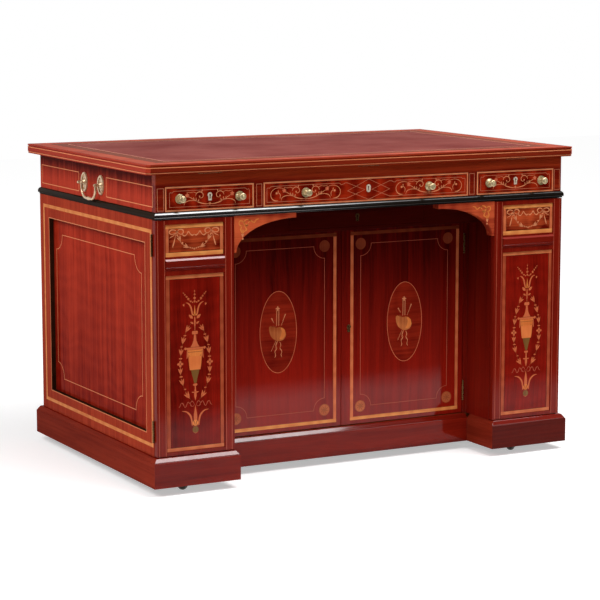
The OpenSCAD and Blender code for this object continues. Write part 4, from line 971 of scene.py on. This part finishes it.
def urnBody(face, c):
    # each part of the urn is a short upright ribbon: its heights, then its widths from top to bottom
    umber = face.cut("brownInlay")
    for wood, heights, widths in (
            ("coralInlay", (382.6, 384, 389, 390.4), [11, 15, 15, 11]),
            ("coralInlay", (382, 376, 368, 360, 352.5), [5, 5.6, 8, 13.5, 23]),
            ("coralInlay", (351.4, 347.6, 346), [45, 44, 40]),
            ("amberInlay", (345.6, 341), [40, 36]),
            ("amberInlay", (340, 330), [37, 35]),
            ("emberInlay", (330, 320, 308, 297.6), [35, 33.4, 31, 27.5]),
            ("greenInlay", (297.6, 288, 277, 266), [22, 17.5, 11, 6]),
            ("coralInlay", (264.6, 263.4, 260.4, 259.2), [7, 11, 11, 7]),
            ("coralInlay", (259, 252, 246), [3, 3, 5]),
            ("coralInlay", (245.2, 242.4), [20, 14]),
            ("coralInlay", (242, 236, 224), [6, 6.6, 0.8])):
        stroke(face.cut(wood), [(c, v) for v in heights], widths)
    for half, v, wide in ((12, 351.9, 0.8), (18, 340.4, 0.9)):
        stroke(umber, [(c - half, v), (c + half, v)], wide)
    vine(umber, [(-14, 333), (-12, 324), (-6, 318.5), (0, 317.3), (6, 318.5), (12, 324), (14, 333)], 1.3, c)
    for k in range(-2, 3):
        disc(umber, c + k * 4.4, 318.2 + 0.42 * k * k, 1.3)
    coral = face.cut("coralInlay")
    for s in (-1, 1):
        disc(coral, c + s * 25, 349.5, 3.2)
        vine(coral, [(20.5, 345), (20, 338), (20.3, 331), (21.5, 325)], [1.4, 2.8, 3.0, 0.6], c, s)


def garland(face, c):
    # a cord of husks and discs down both sides of the urn, with a ribbon under it
    coral, umber, dim = face.cut("coralInlay"), face.cut("brownInlay"), face.cut("faintString")
    buds = ((19, 396.5, 16.5, 305), (30.5, 370, 16.5, 285), (36.5, 342.5, 15.5, 276), (38.3, 297, 15, 268),
            (34, 270.5, 16.5, 254), (20.2, 237.5, 17.5, 236))
    for s in (-1, 1):
        for u, v, size, turn in buds:
            husk(coral, c + s * u, v, size, leaning(turn, s))
        for u, v, r in ((26, 381, 3.6), (35, 355, 3.2), (37.8, 327, 4.2), (36.8, 283.5, 4.2),
                        (26.5, 253, 3.2)):
            disc(coral, c + s * u, v, r, 0.42)
        petals(coral, c + s * 38.6, 314, 7.8, 4, 0)
        disc(umber, c + s * 38.6, 314, 1.9)
        vine(umber, [(8, 411), (18, 398), (29, 376), (35, 350), (38.4, 320), (38, 292), (33, 266), (21, 240),
                     (8, 222)], 0.6, c, s)
        vine(dim, [(2, 214), (7, 222), (12, 220), (13, 213), (7, 210), (2, 214)],
             [0.8, 1.8, 1.4, 1.6, 1.2, 0.8], c, s)
        vine(dim, [(10, 212), (16, 219), (20, 221), (24, 212), (28, 209.5), (32, 218), (37, 220), (40, 213),
                   (44, 210)], [0.8, 2.4, 1.0, 2.4, 1.0, 2.4, 1.0, 2.0, 0.5], c, s)


def calyx(face, c):
    coral, umber = face.cut("coralInlay"), face.cut("brownInlay")
    for s in (-1, 1):
        vine(coral, [(8.5, 164), (9.6, 176), (12.2, 186), (17, 193), (24.5, 198.5), (35, 200.5)],
             [2.6, 4, 4.4, 4, 2.8, 0.5], c, s)
        vine(umber, [(6.5, 176), (2.5, 171.5), (1.5, 164)], [0.7, 1.4, 0.7], c, s)
    stroke(coral, [(c, 176), (c, 182), (c, 190), (c, 200), (c, 212)], [8.4, 9, 8.4, 5, 0.5])
    disc(face.cut("amberInlay"), c, 170, 7.4, segments=20)
    disc(face.cut("greenInlay"), c, 153.6, 7.8, segments=20)
    vine(coral, [(-6, 149), (0, 146.4), (6, 149)], [1.5, 4, 1.5], c)
    vine(umber, [(-7, 161.6), (7, 161.6)], 1.0, c)
    vine(umber, [(0, 160), (0, 147)], [0.8, 1.2, 0.6], c)


def urnPanel(c):
    # the first call for each wood sets how its sheet lies over the others
    face = Marquetry()
    for wood in ("coralInlay", "amberInlay", "faintString", "greenInlay", "brownInlay"):
        face.cut(wood)
    for part in (urnSprays, urnBody, garland, calyx):
        part(face, c)
    return face


def panelBands(face, left, right, look):
    low, high, ends, sides = (look[key] for key in ("low", "high", "ends", "sides"))
    upright, level = look["woods"]
    for u in (left + sides / 2, right - sides / 2):
        stroke(face.cut(upright), [(u, low), (u, high)], sides)
    for v in (high - ends / 2, low + ends / 2):
        stroke(face.cut(level), [(left, v), (right, v)], ends)
    band(face.cut("ebonyLine"), left + sides, right - sides, low + ends, high - ends, doorLook["lineWidth"])


def dressPedestalDoor(side, s):
    look = doorLook
    door = side + "_door"
    stiles = Marquetry()
    for u in look["stileStrings"]:
        stroke(stiles.cut("faintString"), [(s * u, v) for v in look["stringEnds"]], look["stringWidth"])
    stiles.lay(side + "DoorStileStrings", door, facing("front", reach(door, "front") - look["railProud"]))
    face = Marquetry()
    left, right = sorted(s * edge for edge in look["panelEdges"])
    panelFace = reach(door + "_panels", "front")
    panelBands(face, left, right, festoonBands)
    panelBands(face, left, right, urnBands)
    festoon(face, s * look["centre"])
    face.lay(side + "DoorMarquetry", door, facing("front", panelFace))
    # the urn of the left door stands a little lower than that of the right one
    urn = urnPanel(s * look["centre"])
    urn.lay(side + "DoorUrn", door, facing("front", panelFace, look["urnRise"][side]))


dressPedestalDoor("left", -1)
dressPedestalDoor("right", 1)
print("pedestal doors inlaid")


# Plan cupboard doors: bands, corner roundels, hollowed string and the trophy in an oval
planLook = {"edges": (20, 340), "low": 103, "high": 583, "bandWidth": 8.5, "bandMiddle": 4.5, "roundel": 14.8,
            "hollow": 30.5, "stringWidth": 1.5, "string": {"left": (54, 302), "right": (49.5, 306)},
            "stringHeights": (137.5, 552), "roundelLine": 0.7, "ovalHeight": 345, "ovalSize": (51, 102),
            "ovalString": 1.35, "ovalCentre": {"left": -184, "right": 178.5}}


def trophy(face, c, z):
    holly, palette, umber = face.cut("hollyInlay"), face.cut("paletteVeneer"), face.cut("brownInlay")
    for turn in (0, 90, 180, 270):
        leaf(holly, c - 1.5, z + 59, 6.5, 4, turn)
    for sheet, points, widths in (
            (holly, [(-4.6, 56), (-5.0, 16)], 1.5),
            (holly, [(1.6, 56), (1.2, 16)], 1.5),
            (umber, [(-1.5, 54), (-1.8, 18)], [0.8, 2.2, 0.8, 0.8]),
            (palette, [(-23, 16), (-19, 9), (-10, 0), (1, -4.5), (12, -4), (20, -2)],
             [4, 15, 29, 36, 31, 10]),
            (face.cut("amberInlay"), [(8, 10), (13.5, 3), (14, -6), (10, -13), (4, -17)], [3, 9, 12, 9, 3]),
            (umber, [(-15, 17), (-10, 14), (-4, 16)], 1.3),
            (umber, [(-9, 11), (-6, -2), (-3, -18)], [0.5, 1.6, 0.8]),
            (holly, [(3, 12), (4, -4), (2, -20)], [0.5, 1.8, 0.6]),
            (holly, [(-12, 24), (-19, 36)], [1, 1.2, 3.2]),
            (holly, [(8, 16), (20, 44)], [0.8, 1.0, 2.6]),
            (holly, [(-6, -20), (-20, -47)], [0.8, 0.9, 0.6]),
            (holly, [(-2, -22), (-9, -40)], [0.8, 0.6, 0.4])):
        vine(sheet, points, widths, c, 1, z)
    for a, b in ((10, 6), (13.5, 1), (14.5, -5), (12, -11), (7, -15)):
        disc(holly, c + a, z + b, 1.8)
    for s in (-1, 1):
        vine(holly, [(4, -24), (7, -33), (4.5, -40), (9.5, -48), (7.5, -57), (10, -63)],
             [0.8, 1.8, 0.9, 2.2, 0.9, 1.8, 0.5], c, s, z)


def roundel(face, ground, u, v):
    r = planLook["roundel"]
    disc(face.cut(ground), u, v, r, segments=32)
    ring(face.cut("brownInlay"), u, v, r - 1, r - 1, planLook["roundelLine"], 32)
    for k in range(8):
        leaf(face.cut("brownInlay"), u, v, r - 2.5, 1.7, 45 * k + 15, 40)
    disc(face.cut(ground), u, v, 1.6)


def dressPlanDoor(side, s):
    look = planLook
    door = side + "_plan_door"
    left, right = sorted(s * edge for edge in look["edges"])
    low, high, inset = look["low"], look["high"], look["bandMiddle"]
    c, z, (across, up) = look["ovalCentre"][side], look["ovalHeight"], look["ovalSize"]
    face = Marquetry()
    disc(face.cut("ovalGround"), c, z, across, up / across, segments=72)
    for wood, path in (("warmBanding", [(left + inset, low), (left + inset, high)]),
                       ("warmBanding", [(right - inset, low), (right - inset, high)]),
                       # the top band under the apron takes the banding with painted shade
                       ("paintedShadeBanding", [(left, high - inset), (right, high - inset)]),
                       ("satinwoodX", [(left, low + inset), (right, low + inset)])):
        stroke(face.cut(wood), path, look["bandWidth"])
    ends = sorted(s * edge for edge in look["string"][side])
    stringLow, stringHigh = look["stringHeights"]
    hollowFrame(face.cut("faintString"), *ends, stringLow, stringHigh, look["hollow"], look["stringWidth"])
    for u in ends:
        roundel(face, "roundelVeneer", u, stringLow)
        # the upper roundels under the apron take the veneer with painted shade
        roundel(face, "paintedShadeRoundel", u, stringHigh)
    ring(face.cut("softInlay"), c, z, across, up, look["ovalString"], 72)
    trophy(face, c, z)
    face.lay(side + "PlanMarquetry", door, facing("front", reach(door, "front")))


dressPlanDoor("left", -1)
dressPlanDoor("right", 1)


# Spandrels: a ribbon bow with a hanging drop of husks
def dressSpandrels():
    fuller = 1.6  # the ribbon is this many times as wide as the widths below
    face = Marquetry()
    amber, holly = face.cut("amberInlay"), face.cut("hollyInlay")
    for s in (-1, 1):
        for points, widths in (
                ([(300, 645), (308, 643), (313, 637), (321, 641), (328, 645)], [0.6, 2.4, 1.4, 2.2, 1.2]),
                ([(330, 636), (324, 642), (331, 645), (338, 642), (340, 634), (333, 630), (328, 634)],
                 [1.0, 2.0, 1.6, 2.2, 1.8, 1.6, 0.8]),
                ([(336, 634), (346, 642), (353, 640), (351, 632), (342, 630)], [0.8, 2.2, 1.6, 2.0, 0.8]),
                ([(339, 630), (334, 621), (340, 616), (344, 611)], [0.8, 2.4, 1.6, 0.8]),
                ([(344, 632), (349, 622), (346, 613)], [0.8, 2.4, 0.8])):
            vine(amber, points, [wide * fuller for wide in widths], 0, s)
        disc(amber, s * 333, 631, 3.4)
        husk(amber, s * 344, 617, 10, 270)
        husk(holly, s * 344, 607.5, 9.5, 270)
        disc(holly, s * 343.6, 599, 2.2)
    face.lay("spandrelRibbons", "carcase", facing("front", reach("spandrels", "front")))


dressSpandrels()
print("kneehole inlaid")

# Studio: white floor, large softbox above the front, key from the left
studio = {
    "topSoftbox": {"power": 104, "size": (3.2, 1.6), "at": (0.9, -1.15, 2.9), "towards": (0.1, -0.1, 0.6)},
    "leftKey": {"power": 48, "size": (1.4, 1.6), "at": (-2.5, -0.5, 2.4), "towards": (-0.3, 0, 0.6)},
    "floorHalf": 9, "floorGlow": 0.45, "farGlow": 0.8, "ambient": 0.2,
}


def areaLight(name):
    look = studio[name]
    lamp = bpy.data.lights.new(name, "AREA")
    lamp.energy = look["power"]
    lamp.shape = "RECTANGLE"
    lamp.size, lamp.size_y = look["size"]
    holder = bpy.data.objects.new(name, lamp)
    holder.location = look["at"]
    beam = Vector(look["towards"]) - Vector(look["at"])
    holder.rotation_euler = beam.to_track_quat("-Z", "Y").to_euler()
    bpy.context.scene.collection.objects.link(holder)


areaLight("topSoftbox")
areaLight("leftKey")


def makeFloor():
    tree, shader = newMaterial("palePaper")
    spot = placed(tree)
    mottled = noiseOn(tree, spot, (40, 40, 40), 3)
    # the faces reflect a white floor near the object and a darker room farther in front
    ray = addNode(tree, "ShaderNodeLightPath").outputs
    parts = addNode(tree, "ShaderNodeSeparateXYZ", {0: spot})
    near = ranged(tree, parts.outputs["Y"], -1.3, -1.02)
    paper = sums(tree, "MAXIMUM", near, ray["Is Camera Ray"])
    white = blended(tree, mottled, (0.86, 0.86, 0.86, 1), (0.84, 0.84, 0.84, 1))
    seen = sums(tree, "MAXIMUM", ray["Is Camera Ray"], times(tree, ray["Is Glossy Ray"], near))
    away = addNode(tree, "ShaderNodeVectorMath", {0: spot}, operation="LENGTH").outputs["Value"]
    glow = ranged(tree, away, 1.0, 3.0, studio["floorGlow"], studio["farGlow"])
    feed(tree, shader.inputs, {
        "Base Color": blended(tree, paper, (0.06, 0.06, 0.06, 1), white), "Roughness": 0.8,
        "Specular IOR Level": 0.0, "Emission Color": (1, 1, 1, 1),
        "Emission Strength": times(tree, seen, glow)})
    work = bmesh.new()
    bmesh.ops.create_grid(work, x_segments=1, y_segments=1, size=studio["floorHalf"])
    newPiece("studioFloor", work, ["palePaper"])


makeFloor()


def makeWorld():
    world = bpy.data.worlds.new("studioWorld")
    bpy.context.scene.world = world
    world.use_nodes = True
    tree = world.node_tree
    ray = addNode(tree, "ShaderNodeLightPath").outputs
    spot = addNode(tree, "ShaderNodeTexCoord")
    parts = addNode(tree, "ShaderNodeSeparateXYZ", {0: spot.outputs["Generated"]})
    behind = ranged(tree, parts.outputs["Y"], -0.1, 0.35, 0.1, 1.0)
    white = sums(tree, "MAXIMUM", ray["Is Camera Ray"], ray["Is Transmission Ray"])
    gloss = times(tree, ray["Is Glossy Ray"], behind)
    plain = times(tree, sums(tree, "SUBTRACT", 1.0, ray["Is Glossy Ray"]), studio["ambient"])
    feed(tree, tree.nodes["Background"].inputs, {
        "Color": (1, 1, 1, 1), "Strength": sums(tree, "MAXIMUM", white, plus(tree, gloss, plain))})


makeWorld()
print("studio set")
